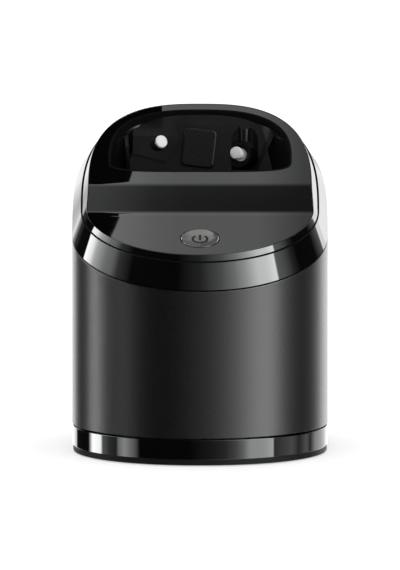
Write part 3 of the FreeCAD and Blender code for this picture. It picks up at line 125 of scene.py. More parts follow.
forward = add_node(tree, "ShaderNodeMath", {1: -1.0}, {0: axes.outputs[1]}, operation="MULTIPLY")
bearing = add_node(
    tree, "ShaderNodeMath", links={0: axes.outputs[0], 1: forward.outputs[0]}, operation="ARCTAN2"
)
# High up the boxes lean away from the front, by 10 degrees of compass at most.
sideways = add_node(tree, "ShaderNodeMath", links={0: bearing.outputs[0]}, operation="SINE")
lean = add_node(
    tree, "ShaderNodeMapRange", {1: 0.5, 2: 0.87, 3: 0.0, 4: math.radians(-10)}, {0: axes.outputs[2]}
)
leaning = add_node(
    tree, "ShaderNodeMath", links={0: sideways.outputs[0], 1: lean.outputs[0], 2: bearing.outputs[0]},
    operation="MULTIPLY_ADD",
)
turn_share = add_node(
    tree, "ShaderNodeMapRange", {1: -math.pi, 2: math.pi, 3: 0.0, 4: 1.0}, {0: leaning.outputs[0]}
)
levels = {}
for name, stops in rounds.items():
    boxes = add_node(tree, "ShaderNodeValToRGB", links={0: turn_share.outputs[0]})
    set_stops(boxes, [((degrees + 180) / 360, level / brightest) for degrees, level in stops])
    levels[name] = boxes.outputs[0]
boxes = levels["middle"]
for start, end, name in (
    (-10.5, -9.8, "low"), (-7.2, -6.5, "middle"), (3, 8, "upper"), (76, 82, "zenith")
):
    share = add_node(
        tree, "ShaderNodeMapRange",
        {1: math.sin(math.radians(start)), 2: math.sin(math.radians(end)), 3: 0.0, 4: 1.0},
        {0: axes.outputs[2]},
    )
    boxes = add_node(
        tree, "ShaderNodeMix", links={0: share.outputs[0], 2: boxes, 3: levels[name]}, data_type="FLOAT"
    ).outputs[0]
box_light = add_node(tree, "ShaderNodeMath", {1: brightest}, {0: boxes}, operation="MULTIPLY")
seen_by = add_node(tree, "ShaderNodeLightPath")
lit = add_node(
    tree, "ShaderNodeMix", {2: plain_light},
    {0: seen_by.outputs["Is Glossy Ray"], 3: box_light.outputs[0]},
    data_type="FLOAT",
)
shown = add_node(
    tree, "ShaderNodeMix", {3: 1.0}, {0: seen_by.outputs["Is Camera Ray"], 2: lit.outputs[0]},
    data_type="FLOAT",
)
sky = add_node(tree, "ShaderNodeBackground", {0: (1, 1, 1, 1)}, {1: shown.outputs[0]})
add_node(tree, "ShaderNodeOutputWorld", links={0: sky.outputs[0]})

# Pale floor that keeps the soft shadow; the gloss of the station doesn't pick it up. It glows a
# little towards the camera, so that it runs into the white behind.
floor_reach, floor_white, floor_glow = 12.0, 0.88, 0.4
mesh = bmesh.new()
bmesh.ops.create_grid(mesh, x_segments=1, y_segments=1, size=floor_reach)
floor_mesh = bpy.data.meshes.new("floor")
mesh.to_mesh(floor_mesh)
mesh.free()
floor = bpy.data.objects.new("floor", floor_mesh)
scene.collection.objects.link(floor)
paper = bpy.data.materials.new("pale_floor_paper")
paper.use_nodes = True
tree = paper.node_tree
tree.nodes.clear()
matt = add_node(tree, "ShaderNodeBsdfDiffuse", {0: (floor_white, floor_white, floor_white, 1)})
seen_by = add_node(tree, "ShaderNodeLightPath")
lift = add_node(
    tree, "ShaderNodeMath", {1: floor_glow}, {0: seen_by.outputs["Is Camera Ray"]},
    operation="MULTIPLY",
)
glow = add_node(tree, "ShaderNodeEmission", {0: (1, 1, 1, 1)}, {1: lift.outputs[0]})
both = add_node(tree, "ShaderNodeAddShader", links={0: matt.outputs[0], 1: glow.outputs[0]})
add_node(tree, "ShaderNodeOutputMaterial", links={0: both.outputs[0]})
floor_mesh.materials.append(paper)
floor.visible_glossy = False


def overhead_sheet(name, outline, height):
    """Flat sheet over the set that only reflections see, and its emptied material."""
    mesh = bmesh.new()
    mesh.faces.new([mesh.verts.new((x, y, height)) for x, y in outline])
    data = bpy.data.meshes.new(name)
    mesh.to_mesh(data)
    mesh.free()
    sheet = bpy.data.objects.new(name, data)
    scene.collection.objects.link(sheet)
    material = bpy.data.materials.new(name)
    material.use_nodes = True
    material.node_tree.nodes.clear()
    data.materials.append(material)
    sheet.visible_camera = sheet.visible_diffuse = False
    sheet.visible_shadow = sheet.visible_transmission = False
    return material.node_tree


# Pale card overhead that the flat top panels mirror: brighter over the ledge than over the front
# panel, dim over the step, and falling off to the right.
card_height, flag_drop, ring_flag_height = 0.45, 0.002, 0.175
card_half, card_front, card_rear = 0.15, -0.07, 0.30
tree = overhead_sheet(
    "pale_card",
    [
        (-card_half, card_front), (card_half, card_front), (card_half, card_rear),
        (-card_half, card_rear),
    ],
    card_height,
)
spot = add_node(
    tree, "ShaderNodeSeparateXYZ", links={0: add_node(tree, "ShaderNodeTexCoord").outputs["Object"]}
)
across = add_node(tree, "ShaderNodeMapRange", {1: -0.06, 2: 0.06, 3: 0.0, 4: 1.0}, {0: spot.outputs[0]})
panel_fall = add_node(tree, "ShaderNodeValToRGB", links={0: across.outputs[0]})
set_stops(panel_fall, [(0.1, 0.8), (0.3, 0.56), (0.4, 0.5), (0.75, 0.5), (0.85, 0.38), (0.95, 0.25)])
step_fall = add_node(tree, "ShaderNodeValToRGB", links={0: across.outputs[0]})
set_stops(step_fall, [(0.05, 0.26), (0.2, 0.16), (0.3, 0.095), (0.45, 0.065), (0.95, 0.045)])
over_ledge = add_node(
    tree, "ShaderNodeMapRange", {1: -0.02, 2: 0.09, 3: 0.0, 4: 1.0}, {0: spot.outputs[1]},
    interpolation_type="SMOOTHSTEP",
)
over_front = add_node(
    tree, "ShaderNodeMapRange", {1: 0.15, 2: 0.23, 3: 3.0, 4: 1.75}, {0: spot.outputs[1]},
    interpolation_type="SMOOTHSTEP",
)
tone = add_node(
    tree, "ShaderNodeMix",
    links={0: over_ledge.outputs[0], 6: step_fall.outputs[0], 7: panel_fall.outputs[0]},
    data_type="RGBA",
)
glow = add_node(tree, "ShaderNodeEmission", links={0: tone.outputs[2], 1: over_front.outputs[0]})
add_node(tree, "ShaderNodeOutputMaterial", links={0: glow.outputs[0]})

# Two black flags on the left, whose straight edges cut the card off: one under the card for the
# front panel and the ledge, one low over the ring behind the pocket. The low one is narrower than
# the housing, which swallows it when it rises.
for name, outline, height in (
    (
        "black_flag",
        [
            (-0.160, 0.045), (-0.052, 0.045), (-0.040, 0.088), (-0.034, 0.107), (-0.0425, 0.112),
            (-0.0425, 0.238), (-0.0476, 0.2498), (-0.0463, 0.2535), (-0.0418, 0.2665),
            (-0.0358, 0.283), (-0.0358, 0.310), (-0.160, 0.310),
        ],
        card_height - flag_drop,
    ),
    (
        "ring_flag",
        [
            (-0.0575, 0.041), (-0.0194, 0.041), (-0.0194, 0.060), (-0.035, 0.0575), (-0.045, 0.0535),
            (-0.053, 0.047),
        ],
        ring_flag_height,
    ),
):
    tree = overhead_sheet(name, outline, height)
    black = add_node(tree, "ShaderNodeEmission", {0: (0, 0, 0, 1), 1: 0.0})
    add_node(tree, "ShaderNodeOutputMaterial", links={0: black.outputs[0]})


# ---- Trim band round the base ----
# Gloss moulded ABS ring, sprung over the tray's rim, with softly rounded edges. The gloss is
# mirror-like, with a faint ripple from the mould and a slight haze.
def linear(code):
    """Linear colour of an sRGB hex value."""
    parts = [int(code[place : place + 2], 16) / 255 for place in (0, 2, 4)]
    shades = [part / 12.92 if part <= 0.04045 else ((part + 0.055) / 1.055) ** 2.4 for part in parts]
    return (*shades, 1.0)


def new_material(name):
    """Empty material with its surface shader and object coordinates."""
    material = bpy.data.materials.new(name)
    material.use_nodes = True
    tree = material.node_tree
    tree.nodes.clear()
    surface = add_node(tree, "ShaderNodeBsdfPrincipled")
    add_node(tree, "ShaderNodeOutputMaterial", links={0: surface.outputs[0]})
    place = add_node(tree, "ShaderNodeTexCoord").outputs["Object"]
    return material, tree, surface, place


gloss_black, tree, surface, place = new_material("gloss_black_abs")
surface.inputs["IOR"].default_value = 1.53
surface.inputs["Specular Tint"].default_value = (0.96, 1.0, 0.98, 1.0)
ripple = add_node(tree, "ShaderNodeTexNoise", {"Scale": 1 / 0.018, "Detail": 1.0}, {"Vector": place})
relief = add_node(
    tree, "ShaderNodeBump", {"Strength": 0.06, "Distance": 0.0001}, {"Height": ripple.outputs[0]}
)
tree.links.new(relief.outputs[0], surface.inputs["Normal"])
haze = add_node(tree, "ShaderNodeTexNoise", {"Scale": 1 / 0.006, "Detail": 4.0}, {"Vector": place})
polish = add_node(
    tree, "ShaderNodeMapRange", {1: 0.3, 2: 0.8, 3: 0.015, 4: 0.035}, {0: haze.outputs[0]}
)
tree.links.new(polish.outputs[0], surface.inputs["Roughness"])
tint = add_node(
    tree, "ShaderNodeMix", {6: linear("040404"), 7: linear("070807")}, {0: haze.outputs[0]},
    data_type="RGBA",
)
tree.links.new(tint.outputs[2], surface.inputs["Base Color"])

plan_sides = 240
body_plan = {
    "middle": -0.005, "half": 0.065, "front": 0.056, "rear": 0.066,
    "front_power": 2.1, "rear_power": 3.4,
}


def plan_point(plan, turn, inset=0.0):
    """Place on an oval plan, moved inward; turns crowd where the plan bends most."""
    across, along = math.cos(turn), math.sin(turn)
    depth = (plan["rear"] if along > 0 else plan["front"]) - inset
    power = plan["rear_power"] if along > 0 else plan["front_power"]
    x = math.copysign(abs(across) ** (2 / power), across) * (plan["half"] - inset)
    y = plan["middle"] + math.copysign(abs(along) ** (2 / power), along) * depth
    if "pinch" in plan:
        x *= 1 - plan["pinch"](y) / (plan["half"] - inset)
    return x, y


def skin(mesh, rings):
    """Skin through rings that follow each other: each a plan, its inset and its height."""
    turns = mesh.verts.layers.float.new("turn")
    corners = bmesh.ops.create_circle(mesh, cap_ends=False, radius=1.0, segments=plan_sides)["verts"]
    for corner in corners:
        corner[turns] = math.atan2(corner.co.y, corner.co.x)
    edges = list(dict.fromkeys(edge for corner in corners for edge in corner.link_edges))
    for number, (plan, inset, height) in enumerate(rings):
        if number:
            made = bmesh.ops.extrude_edge_only(mesh, edges=edges)["geom"]
            corners = [part for part in made if isinstance(part, bmesh.types.BMVert)]
            edges = [part for part in made if isinstance(part, bmesh.types.BMEdge) and part.is_boundary]
        for corner in corners:
            x, y = plan_point(plan, corner[turns], inset)
            corner.co = (x, y, height(y) if callable(height) else height)
    mesh.verts.layers.float.remove(turns)


def band(mesh, rings):
    """Closed wall through rings that follow each other round its section."""
    skin(mesh, rings + rings[:1])
    bmesh.ops.remove_doubles(mesh, verts=mesh.verts, dist=1e-7)


def soften(mesh, width, steps=3, corner=30.0):
    """Rounds every edge that is sharper than a corner angle."""
    sharp = [
        edge
        for edge in mesh.edges
        if len(edge.link_faces) == 2 and edge.calc_face_angle() > math.radians(corner)
    ]
    bmesh.ops.bevel(
        mesh, geom=sharp, offset=width, offset_type="OFFSET", segments=steps, profile=0.5,
        affect="EDGES", material=-1, clamp_overlap=True,
    )


def shade_evenly(piece):
    """Smooth shading whose normals follow the large faces, with the sharp edges kept."""
    piece.data.set_sharp_from_angle(angle=math.radians(38))
    shading = piece.modifiers.new("even_shading", "WEIGHTED_NORMAL")
    shading.keep_sharp = True


def finish_piece(name, mesh, body, material, *nodes):
    """Object of a finished mesh that rides on a body and stands for its CAD nodes."""
    bmesh.ops.remove_doubles(mesh, verts=mesh.verts, dist=1e-6)
    bmesh.ops.recalc_face_normals(mesh, faces=mesh.faces)
    for face in mesh.faces:
        face.smooth = True
    data = bpy.data.meshes.new(name)
    mesh.to_mesh(data)
    mesh.free()
    data.materials.append(material)
    piece = bpy.data.objects.new(name, data)
    scene.collection.objects.link(piece)
    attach(piece, body)
    if nodes:
        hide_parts(*nodes)
    shade_evenly(piece)
    return piece


trim_low, trim_high, trim_lip = 0.0033, 0.0134, 0.0015
trim_out, trim_in, lip_in = 0.0003, 0.0018, 0.0024
mesh = bmesh.new()
band(mesh, [
    (body_plan, trim_out, trim_low),
    (body_plan, trim_out, trim_high),
    (body_plan, lip_in, trim_high),
    (body_plan, lip_in, trim_high - trim_lip),
    (body_plan, trim_in, trim_high - trim_lip),
    (body_plan, trim_in, trim_low),
])
soften(mesh, 0.00035)
trim = finish_piece("trim_ring", mesh, "base", gloss_black, "trim_band")


# ---- Apron ----
# Upright shell of the housing, moulded and sprayed with a fine-grained satin metallic coat.
# The coat glitters faintly in the softbox: grain of about 0.3 mm, drawn at 0.5 mm so it shows.
apron_coat, tree, surface, place = new_material("satin_metallic_coat")
surface.inputs["IOR"].default_value = 1.5
grain = add_node(
    tree, "ShaderNodeTexNoise", {"Scale": 1 / 0.0005, "Detail": 2.0, "Roughness": 0.6},
    {"Vector": place},
)
grain_relief = add_node(
    tree, "ShaderNodeBump", {"Strength": 0.35, "Distance": 0.00006}, {"Height": grain.outputs[0]}
)
tree.links.new(grain_relief.outputs[0], surface.inputs["Normal"])
grain_gloss = add_node(
    tree, "ShaderNodeMapRange", {1: 0.3, 2: 0.7, 3: 0.27, 4: 0.36}, {0: grain.outputs[0]}
)
tree.links.new(grain_gloss.outputs[0], surface.inputs["Roughness"])
flake = add_node(tree, "ShaderNodeValToRGB", links={0: grain.outputs[0]})
set_stops(flake, [(0.35, linear("060606")), (0.6, linear("0c0c0b")), (0.75, linear("1e1e1c"))])
tree.links.new(flake.outputs[0], surface.inputs["Base Color"])


def side_line(points, radii):
    """Height along the body of straight slopes that arcs join at their corners."""
    runs = []
    start = Vector(points[0])
    for corner, after, radius in zip(points[1:-1], points[2:], radii):
        corner, after = Vector(corner), Vector(after)
        back, ahead = (start - corner).normalized(), (after - corner).normalized()
        half = back.angle(ahead) / 2
        first = corner + back * (radius / math.tan(half))
        last = corner + ahead * (radius / math.tan(half))
        centre = corner + (back + ahead).normalized() * (radius / math.sin(half))
        runs.append((start, first, None, 0.0))
        runs.append((first, last, centre, radius if corner.y > centre.y else -radius))
        start = last
    runs.append((start, Vector(points[-1]), None, 0.0))

    def height(y):
        for first, last, centre, radius in runs:
            if y <= last.x:
                break
        if centre is None:
            return first.y + (y - first.x) / (last.x - first.x) * (last.y - first.y)
        return centre.y + math.copysign(math.sqrt(radius**2 - (y - centre.x) ** 2), radius)

    return height


def slope(y, z, degrees, to_y):
    """Point of a straight slope through (y, z), seen from the side."""
    return to_y, z + (to_y - y) * math.tan(math.radians(degrees))


front_slope, rear_slope, knee_arc = 20.4, 34.5, 0.030
front_y, middle_y, line_end = -0.061, -0.005, 0.09
seam_front = 0.0893
knee = slope(front_y, seam_front, front_slope, middle_y)
seam_line = side_line(
    [slope(*knee, front_slope, -line_end), knee, slope(*knee, rear_slope, line_end)], [knee_arc]
)
apron_low, apron_wall = 0.0143, 0.002
mesh = bmesh.new()
band(mesh, [
    (body_plan, 0.0, apron_low),
    (body_plan, 0.0, seam_line),
    (body_plan, apron_wall, seam_line),
    (body_plan, apron_wall, apron_low),
])
soften(mesh, 0.00025)


def cut_away(piece, cutter):
    """Cuts a closed mesh out of a piece."""
    bmesh.ops.recalc_face_normals(cutter, faces=cutter.faces)
    data = bpy.data.meshes.new("cutter")
    cutter.to_mesh(data)
    cutter.free()
    tool = bpy.data.objects.new("cutter", data)
    scene.collection.objects.link(tool)
    piece.modifiers.clear()
    cut = piece.modifiers.new("cut", "BOOLEAN")
    cut.operation = "DIFFERENCE"
    cut.solver = "EXACT"
    cut.object = tool
    bpy.context.view_layer.update()
    graph = bpy.context.evaluated_depsgraph_get()
    done = bpy.data.meshes.new_from_object(piece.evaluated_get(graph))
    done.name = piece.name
    piece.modifiers.clear()
    piece.data = done
    bpy.data.objects.remove(tool)
    shade_evenly(piece)


apron = finish_piece("apron_shell", mesh, "housing", apron_coat, "apron")
# Windows in the back wall for the release button and the inlet.
back_wall = 0.060
for width, height, corner, depth, x, z in (
    (0.023, 0.014, 0.0045, 0.016, 0.0, 0.074), (0.0133, 0.0093, 0.00165, 0.030, 0.034, 0.024)
):
    cutter = bmesh.new()
    bmesh.ops.create_cube(cutter, size=1.0)
    bmesh.ops.scale(cutter, vec=(width, depth, height), verts=cutter.verts)
    along = [
        edge for edge in cutter.edges if abs(edge.verts[0].co.y - edge.verts[1].co.y) > depth / 2
    ]
    bmesh.ops.bevel(
        cutter, geom=along, offset=corner, offset_type="OFFSET", segments=8, profile=0.5,
        affect="EDGES", material=-1,
    )
    bmesh.ops.translate(cutter, vec=(x, back_wall, z), verts=cutter.verts)
    cut_away(apron, cutter)

# Bosses for the deck's screws. They run into the wall, so they come after the cuts: the cuts give
# the same mesh each time only on shells that don't cross.
boss_radius, boss_length, boss_middle = 0.004, 0.007, 0.0585
mesh = bmesh.new()
mesh.from_mesh(apron.data)
for x, y in ((0.0529, 0.0394), (-0.0529, 0.0394), (-0.0433, -0.0413), (0.0433, -0.0413)):
    bmesh.ops.create_cone(
        mesh, cap_ends=True, segments=32, radius1=boss_radius, radius2=boss_radius,
        depth=boss_length, matrix=Matrix.Translation((x, y, boss_middle)),
    )
for face in mesh.faces:
    face.smooth = True
mesh.to_mesh(apron.data)
mesh.free()
apron.modifiers.clear()
shade_evenly(apron)


# ---- Collar ----
# Drafted gloss ring between the two sloping seams, clipped to the apron with a shadow gap.
collar_rise, collar_inset, collar_wall = 0.0126, 0.0044, 0.0018
seam_gap, low_seam_gap = 0.0005, 0.0008


def inward(plan, depth, **changes):
    """The same plan moved inward, with some of its values changed."""
    return {**plan, **{key: plan[key] - depth for key in ("half", "front", "rear")}, **changes}


shoulder_plan = inward(body_plan, collar_inset, rear_power=2.9)
high_knee = (knee[0], knee[1] + collar_rise)
upper_line = side_line(
    [slope(*high_knee, front_slope, -line_end), high_knee, slope(*high_knee, rear_slope, line_end)],
    [knee_arc],
)
mesh = bmesh.new()
band(mesh, [
    (body_plan, 0.0, lambda y: seam_line(y) + low_seam_gap),
    (shoulder_plan, 0.0, upper_line),
    (shoulder_plan, collar_wall, upper_line),
    (body_plan, collar_wall, lambda y: seam_line(y) + low_seam_gap),
])
soften(mesh, 0.00015)
collar = finish_piece("collar_ring", mesh, "housing", gloss_black, "collar")

# Dull black rings close both seams from the inside and keep them dark all round: painted shade for the
# gaps, which also hides the parts inside.
seam_shade_black, tree, surface, place = new_material("painted_shade_dull_black")
surface.inputs["Specular IOR Level"].default_value = 0.05
shade_mottle = add_node(tree, "ShaderNodeTexNoise", {"Scale": 1 / 0.0004, "Detail": 2.0}, {"Vector": place})
shade_mottle_gloss = add_node(
    tree, "ShaderNodeMapRange", {1: 0.3, 2: 0.7, 3: 0.8, 4: 0.95}, {0: shade_mottle.outputs[0]}
)
tree.links.new(shade_mottle_gloss.outputs[0], surface.inputs["Roughness"])
painted_shade_tint = add_node(
    tree, "ShaderNodeMix", {6: linear("020202"), 7: linear("050505")}, {0: shade_mottle.outputs[0]},
    data_type="RGBA",
)
tree.links.new(painted_shade_tint.outputs[2], surface.inputs["Base Color"])
shade_ring_in, shade_ring_lift = 0.0014, 0.00003
# Each ring is painted shade: a dark, barely reflecting sheet set in a seam gap.
for name, plan, outer, line, thickness in (
    ("lower_seam_shade_ring", body_plan, 0.0006, seam_line, 0.0007),
    ("upper_seam_shade_ring", shoulder_plan, 0.00005, upper_line, 0.0003),
):
    bottom, top = lambda y: line(y) + shade_ring_lift, lambda y: line(y) + thickness
    mesh = bmesh.new()
    band(mesh, [
        (plan, outer, bottom), (plan, outer, top), (plan, shade_ring_in, top), (plan, shade_ring_in, bottom)
    ])
    seam_shade_ring = finish_piece(name, mesh, "housing", seam_shade_black)


# ---- Bezel ----
# Bevelled gloss ring that frames the top panel; its upper edge follows the panel's step and
# draws in where the ring stands taller.
bezel_inset, bezel_land, bezel_rise, bezel_draft = 0.0022, 0.0003, 0.003, 0.26
step_y, step_rise, step_run = -0.014, 0.01315, 0.015
ring_slope, seam_step = 32.4, 0.0007
step_foot = slope(front_y, seam_front + collar_rise + bezel_rise, front_slope, step_y)
nose = (step_y + step_run, step_foot[1] + step_rise)
step_arcs = [0.013, 0.020]
top_line = side_line(
    [slope(*step_foot, front_slope, -line_end), step_foot, nose, slope(*nose, ring_slope, line_end)],
    step_arcs,
)
crown_plan = inward(
    shoulder_plan, bezel_inset, rear_power=2.75,
    pinch=lambda y: bezel_draft * (top_line(y) - upper_line(y) - bezel_rise),
)
mesh = bmesh.new()
band(mesh, [
    (shoulder_plan, seam_step, lambda y: upper_line(y) + seam_gap),
    (crown_plan, 0.0, top_line),
    (crown_plan, bezel_land, top_line),
    (crown_plan, bezel_land, lambda y: upper_line(y) + seam_gap),
])
soften(mesh, 0.0001)
bezel = finish_piece("bezel_ring", mesh, "housing", gloss_black, "bezel")


# ---- Top panel ----
# One gloss moulding: front panel with the button hole, soft step, ledge and ring round the
# pocket. It lies inside the bezel with a fine gap all round. Fine rows across the step let its
# arcs bend smoothly.
panel_gap, panel_drop = 0.0002, 0.0024
pocket_plan = {
    "middle": 0.018, "half": 0.0457, "front": 0.008, "rear": 0.0315,
    "front_power": 4.5, "rear_power": 2.7,
}
rim_wall, rim_gap = 0.0009, 0.0001
button_y, button_radius, button_gap = -0.038, 0.0097, 0.0005
button_slope = math.radians(front_slope)
mesh = bmesh.new()
skin(mesh, [(crown_plan, bezel_land + panel_gap, 0.0), (pocket_plan, -rim_wall - rim_gap, 0.0)])
row, last_row, row_pitch = -0.018, 0.006, 0.0004
while row < last_row:
    bmesh.ops.bisect_plane(
        mesh, geom=mesh.verts[:] + mesh.edges[:] + mesh.faces[:], dist=1e-7,
        plane_co=(0.0, row, 0.0), plane_no=(0.0, 1.0, 0.0),
    )
    row += row_pitch
for corner in mesh.verts:
    corner.co.z = top_line(corner.co.y)
bmesh.ops.recalc_face_normals(mesh, faces=mesh.faces)
if sum(face.normal.z for face in mesh.faces) < 0:
    bmesh.ops.reverse_faces(mesh, faces=mesh.faces)
lower = bmesh.ops.extrude_face_region(mesh, geom=mesh.faces[:], use_keep_orig=True)["geom"]
bmesh.ops.translate(
    mesh, vec=(0.0, 0.0, -panel_drop),
    verts=[part for part in lower if isinstance(part, bmesh.types.BMVert)],
)
panel = finish_piece("top_panel", mesh, "housing", gloss_black, "fascia")
button_place = Vector((0.0, button_y, top_line(button_y)))
button_frame = Matrix.Translation(button_place) @ Matrix.Rotation(button_slope, 4, "X")
cutter = bmesh.new()
bmesh.ops.create_cone(
    cutter, cap_ends=True, segments=96, radius1=button_radius + button_gap,
    radius2=button_radius + button_gap, depth=0.012, matrix=button_frame,
)
cut_away(panel, cutter)


# ---- Rim of the pocket ----
# Thin lip round the pocket's mouth, level with the panel, with a rounded inner edge, drawn matt in the
# same
# dull black as the rings in the seams: painted shade that keeps the rim from catching light.
rim_crest, rim_round, pocket_lip, crest_steps = 0.0001, 0.0003, 0.003, 6


def above_panel(up):
    """Line that runs a fixed height over the top panel."""
    return lambda y: top_line(y) + up


rim_rings = [
    (pocket_plan, -rim_wall, above_panel(-pocket_lip)),
    (pocket_plan, -rim_wall, above_panel(rim_crest)),
]
for step in range(crest_steps + 1):
    turn = math.pi / 2 * step / crest_steps
    drop = rim_round * (1 - math.cos(turn))
    rim_rings.append((pocket_plan, rim_round * (math.sin(turn) - 1), above_panel(rim_crest - drop)))
rim_rings.append((pocket_plan, 0.0, above_panel(-pocket_lip)))
mesh = bmesh.new()
band(mesh, rim_rings)
rim = finish_piece("pocket_rim_ring", mesh, "housing", seam_shade_black, "pocket_rim")


# ---- Wash bowl ----
# Deep satin moulding under the pocket: funnel walls, flat floor with a drain, two ribs that
# hold the shaving head, and the spout that the hose feeds. Spark-eroded ABS with a fine grain.
inner_black, tree, surface, place = new_material("satin_black_abs")
# Its highlight is turned down to 0.22: painted shade inside the pocket, on the bowl, the carrier and
# the ring at the left pin.
surface.inputs["Specular IOR Level"].default_value = 0.22
erosion = add_node(
    tree, "ShaderNodeTexNoise", {"Scale": 1 / 0.0004, "Detail": 2.0}, {"Vector": place}
)
erosion_relief = add_node(
    tree, "ShaderNodeBump", {"Strength": 0.25, "Distance": 0.00005}, {"Height": erosion.outputs[0]}
)
tree.links.new(erosion_relief.outputs[0], surface.inputs["Normal"])
wear = add_node(tree, "ShaderNodeTexNoise", {"Scale": 1 / 0.012, "Detail": 5.0}, {"Vector": place})
satin = add_node(
    tree, "ShaderNodeMapRange", {1: 0.3, 2: 0.75, 3: 0.14, 4: 0.24}, {0: wear.outputs[0]}
)
tree.links.new(satin.outputs[0], surface.inputs["Roughness"])
shade = add_node(
    tree, "ShaderNodeMix", {6: linear("0e0e0e"), 7: linear("151516")}, {0: wear.outputs[0]},
    data_type="RGBA",
)
tree.links.new(shade.outputs[2], surface.inputs["Base Color"])

bowl_wall, bowl_shoulder, bowl_floor, bowl_middle = 0.0016, 0.122, 0.074, 0.026
bowl_plan = {
    "middle": bowl_middle, "half": 0.031, "front": 0.011, "rear": 0.012,
    "front_power": 3.2, "rear_power": 3.2,
}


def round_plan(radius):
    """Plan of a round opening in the bowl's floor."""
    return {
        "middle": bowl_middle, "half": radius, "front": radius, "rear": radius,
        "front_power": 2.0, "rear_power": 2.0,
    }


drain_radius, drain_low = 0.006, 0.059
drain_out, drain_in = round_plan(drain_radius), round_plan(drain_radius - bowl_wall)
inner_floor = bowl_floor + bowl_wall
bowl_top = above_panel(-pocket_lip - seam_gap)
mesh = bmesh.new()
band(mesh, [
    (pocket_plan, 0.0, bowl_top),
    (pocket_plan, 0.0, bowl_shoulder + 0.002),
    (pocket_plan, 0.0004, bowl_shoulder - 0.001),
    (bowl_plan, -0.0008, inner_floor + 0.004),
    (bowl_plan, 0.0006, inner_floor + 0.0012),
    (bowl_plan, 0.0026, inner_floor),
    (drain_in, -0.0008, inner_floor),
    (drain_in, 0.0, inner_floor - 0.0008),
    (drain_in, 0.0, drain_low),
    (drain_out, 0.0, drain_low),
    (drain_out, 0.0, bowl_floor),
    (bowl_plan, 0.0006, bowl_floor),
    (bowl_plan, -bowl_wall, bowl_floor + 0.0015),
    (pocket_plan, -bowl_wall, bowl_shoulder - 0.001),
    (pocket_plan, -bowl_wall, bowl_top),
])
rib_size, rib_place = (0.002, 0.0222, 0.0098), (0.0155, 0.0265, 0.0797)
for side in (-1, 1):
    rib = bmesh.ops.create_cube(mesh, size=1.0)["verts"]
    bmesh.ops.scale(mesh, vec=rib_size, verts=rib)
    bmesh.ops.translate(mesh, vec=(side * rib_place[0], *rib_place[1:]), verts=rib)
spout_radius, spout_length, spout_place = 0.0025, 0.006, (-0.016, 0.013, 0.0875)
bmesh.ops.create_cone(
    mesh, cap_ends=True, segments=32, radius1=spout_radius, radius2=spout_radius,
    depth=spout_length,
    matrix=Matrix.Translation(spout_place) @ Matrix.Rotation(math.radians(90), 4, "X"),
)
bowl = finish_piece("wash_bowl_shell", mesh, "housing", inner_black, "wash_bowl")


# ---- Contact carrier ----
# Moulding on the back wall of the pocket: boss for the left pin, niche with a channel and a
# recess for the right one, ribs at both sides. Its edges are broken by the mould's small radii.
mesh = bmesh.new()
mesh.from_mesh(frame["nodes"]["contact_carrier"].data)
bmesh.ops.remove_doubles(mesh, verts=mesh.verts, dist=2e-6)
bmesh.ops.dissolve_limit(
    mesh, angle_limit=math.radians(0.8), verts=mesh.verts, edges=mesh.edges, delimit=set()
)
soften(mesh, 0.0003, 2)
carrier = finish_piece("carrier_moulding", mesh, "housing", inner_black, "contact_carrier")


# ---- Pad between the contacts ----
# Soft satin elastomer pad with rounded corners and a slight crown, pressed into the carrier.
soft_pad, tree, surface, place = new_material("satin_elastomer")
surface.inputs["Specular IOR Level"].default_value = 0.14
pores = add_node(
    tree, "ShaderNodeTexNoise", {"Scale": 1 / 0.0006, "Detail": 3.0}, {"Vector": place}
)
pore_relief = add_node(
    tree, "ShaderNodeBump", {"Strength": 0.2, "Distance": 0.00004}, {"Height": pores.outputs[0]}
)
tree.links.new(pore_relief.outputs[0], surface.inputs["Normal"])
pad_gloss = add_node(
    tree, "ShaderNodeMapRange", {1: 0.3, 2: 0.7, 3: 0.24, 4: 0.34}, {0: pores.outputs[0]}
)
tree.links.new(pad_gloss.outputs[0], surface.inputs["Roughness"])
pad_tint = add_node(
    tree, "ShaderNodeMix", {6: linear("0f0f0f"), 7: linear("161616")}, {0: pores.outputs[0]},
    data_type="RGBA",
)
tree.links.new(pad_tint.outputs[2], surface.inputs["Base Color"])

pad_width, pad_height, pad_thick = 0.017, 0.0195, 0.0032
pad_corner, crown_inset, crown_rise = 0.0025, 0.0006, 0.0005
face_y, face_z, face_lean = 0.0425, 0.1466, 10
pad_x, pad_z, pad_turn = -0.0006, 0.148, -6.5
pad_place = Vector((pad_x, face_y + (pad_z - face_z) * math.tan(math.radians(face_lean)), pad_z))
mesh = bmesh.new()
bmesh.ops.create_cube(mesh, size=1.0)
bmesh.ops.scale(mesh, vec=(pad_width, pad_height, pad_thick), verts=mesh.verts)
bmesh.ops.translate(mesh, vec=(0.0, 0.0, pad_thick / 2), verts=mesh.verts)
uprights = [
    edge for edge in mesh.edges if abs(edge.verts[0].co.z - edge.verts[1].co.z) > pad_thick / 2
]
bmesh.ops.bevel(
    mesh, geom=uprights, offset=pad_corner, offset_type="OFFSET", segments=8, profile=0.5,
    affect="EDGES", material=-1,
)
crown = [face for face in mesh.faces if face.normal.z > 0.9]
bmesh.ops.inset_region(mesh, faces=crown, thickness=crown_inset, depth=0.0)
outer_top = [
    corner
    for corner in mesh.verts
    if corner.co.z > pad_thick * 0.9 and not all(face.normal.z > 0.9 for face in corner.link_faces)
]
bmesh.ops.translate(mesh, vec=(0.0, 0.0, -crown_rise), verts=outer_top)
soften(mesh, 0.0003, 3, 20)
turned_pad = Matrix.Rotation(math.radians(pad_turn), 4, "Z")
standing = Matrix.Rotation(math.radians(90 - face_lean), 4, "X")
bmesh.ops.transform(
    mesh, matrix=Matrix.Translation(pad_place) @ standing @ turned_pad, verts=mesh.verts
)
pad = finish_piece("pocket_pad", mesh, "housing", soft_pad, "centre_pad")


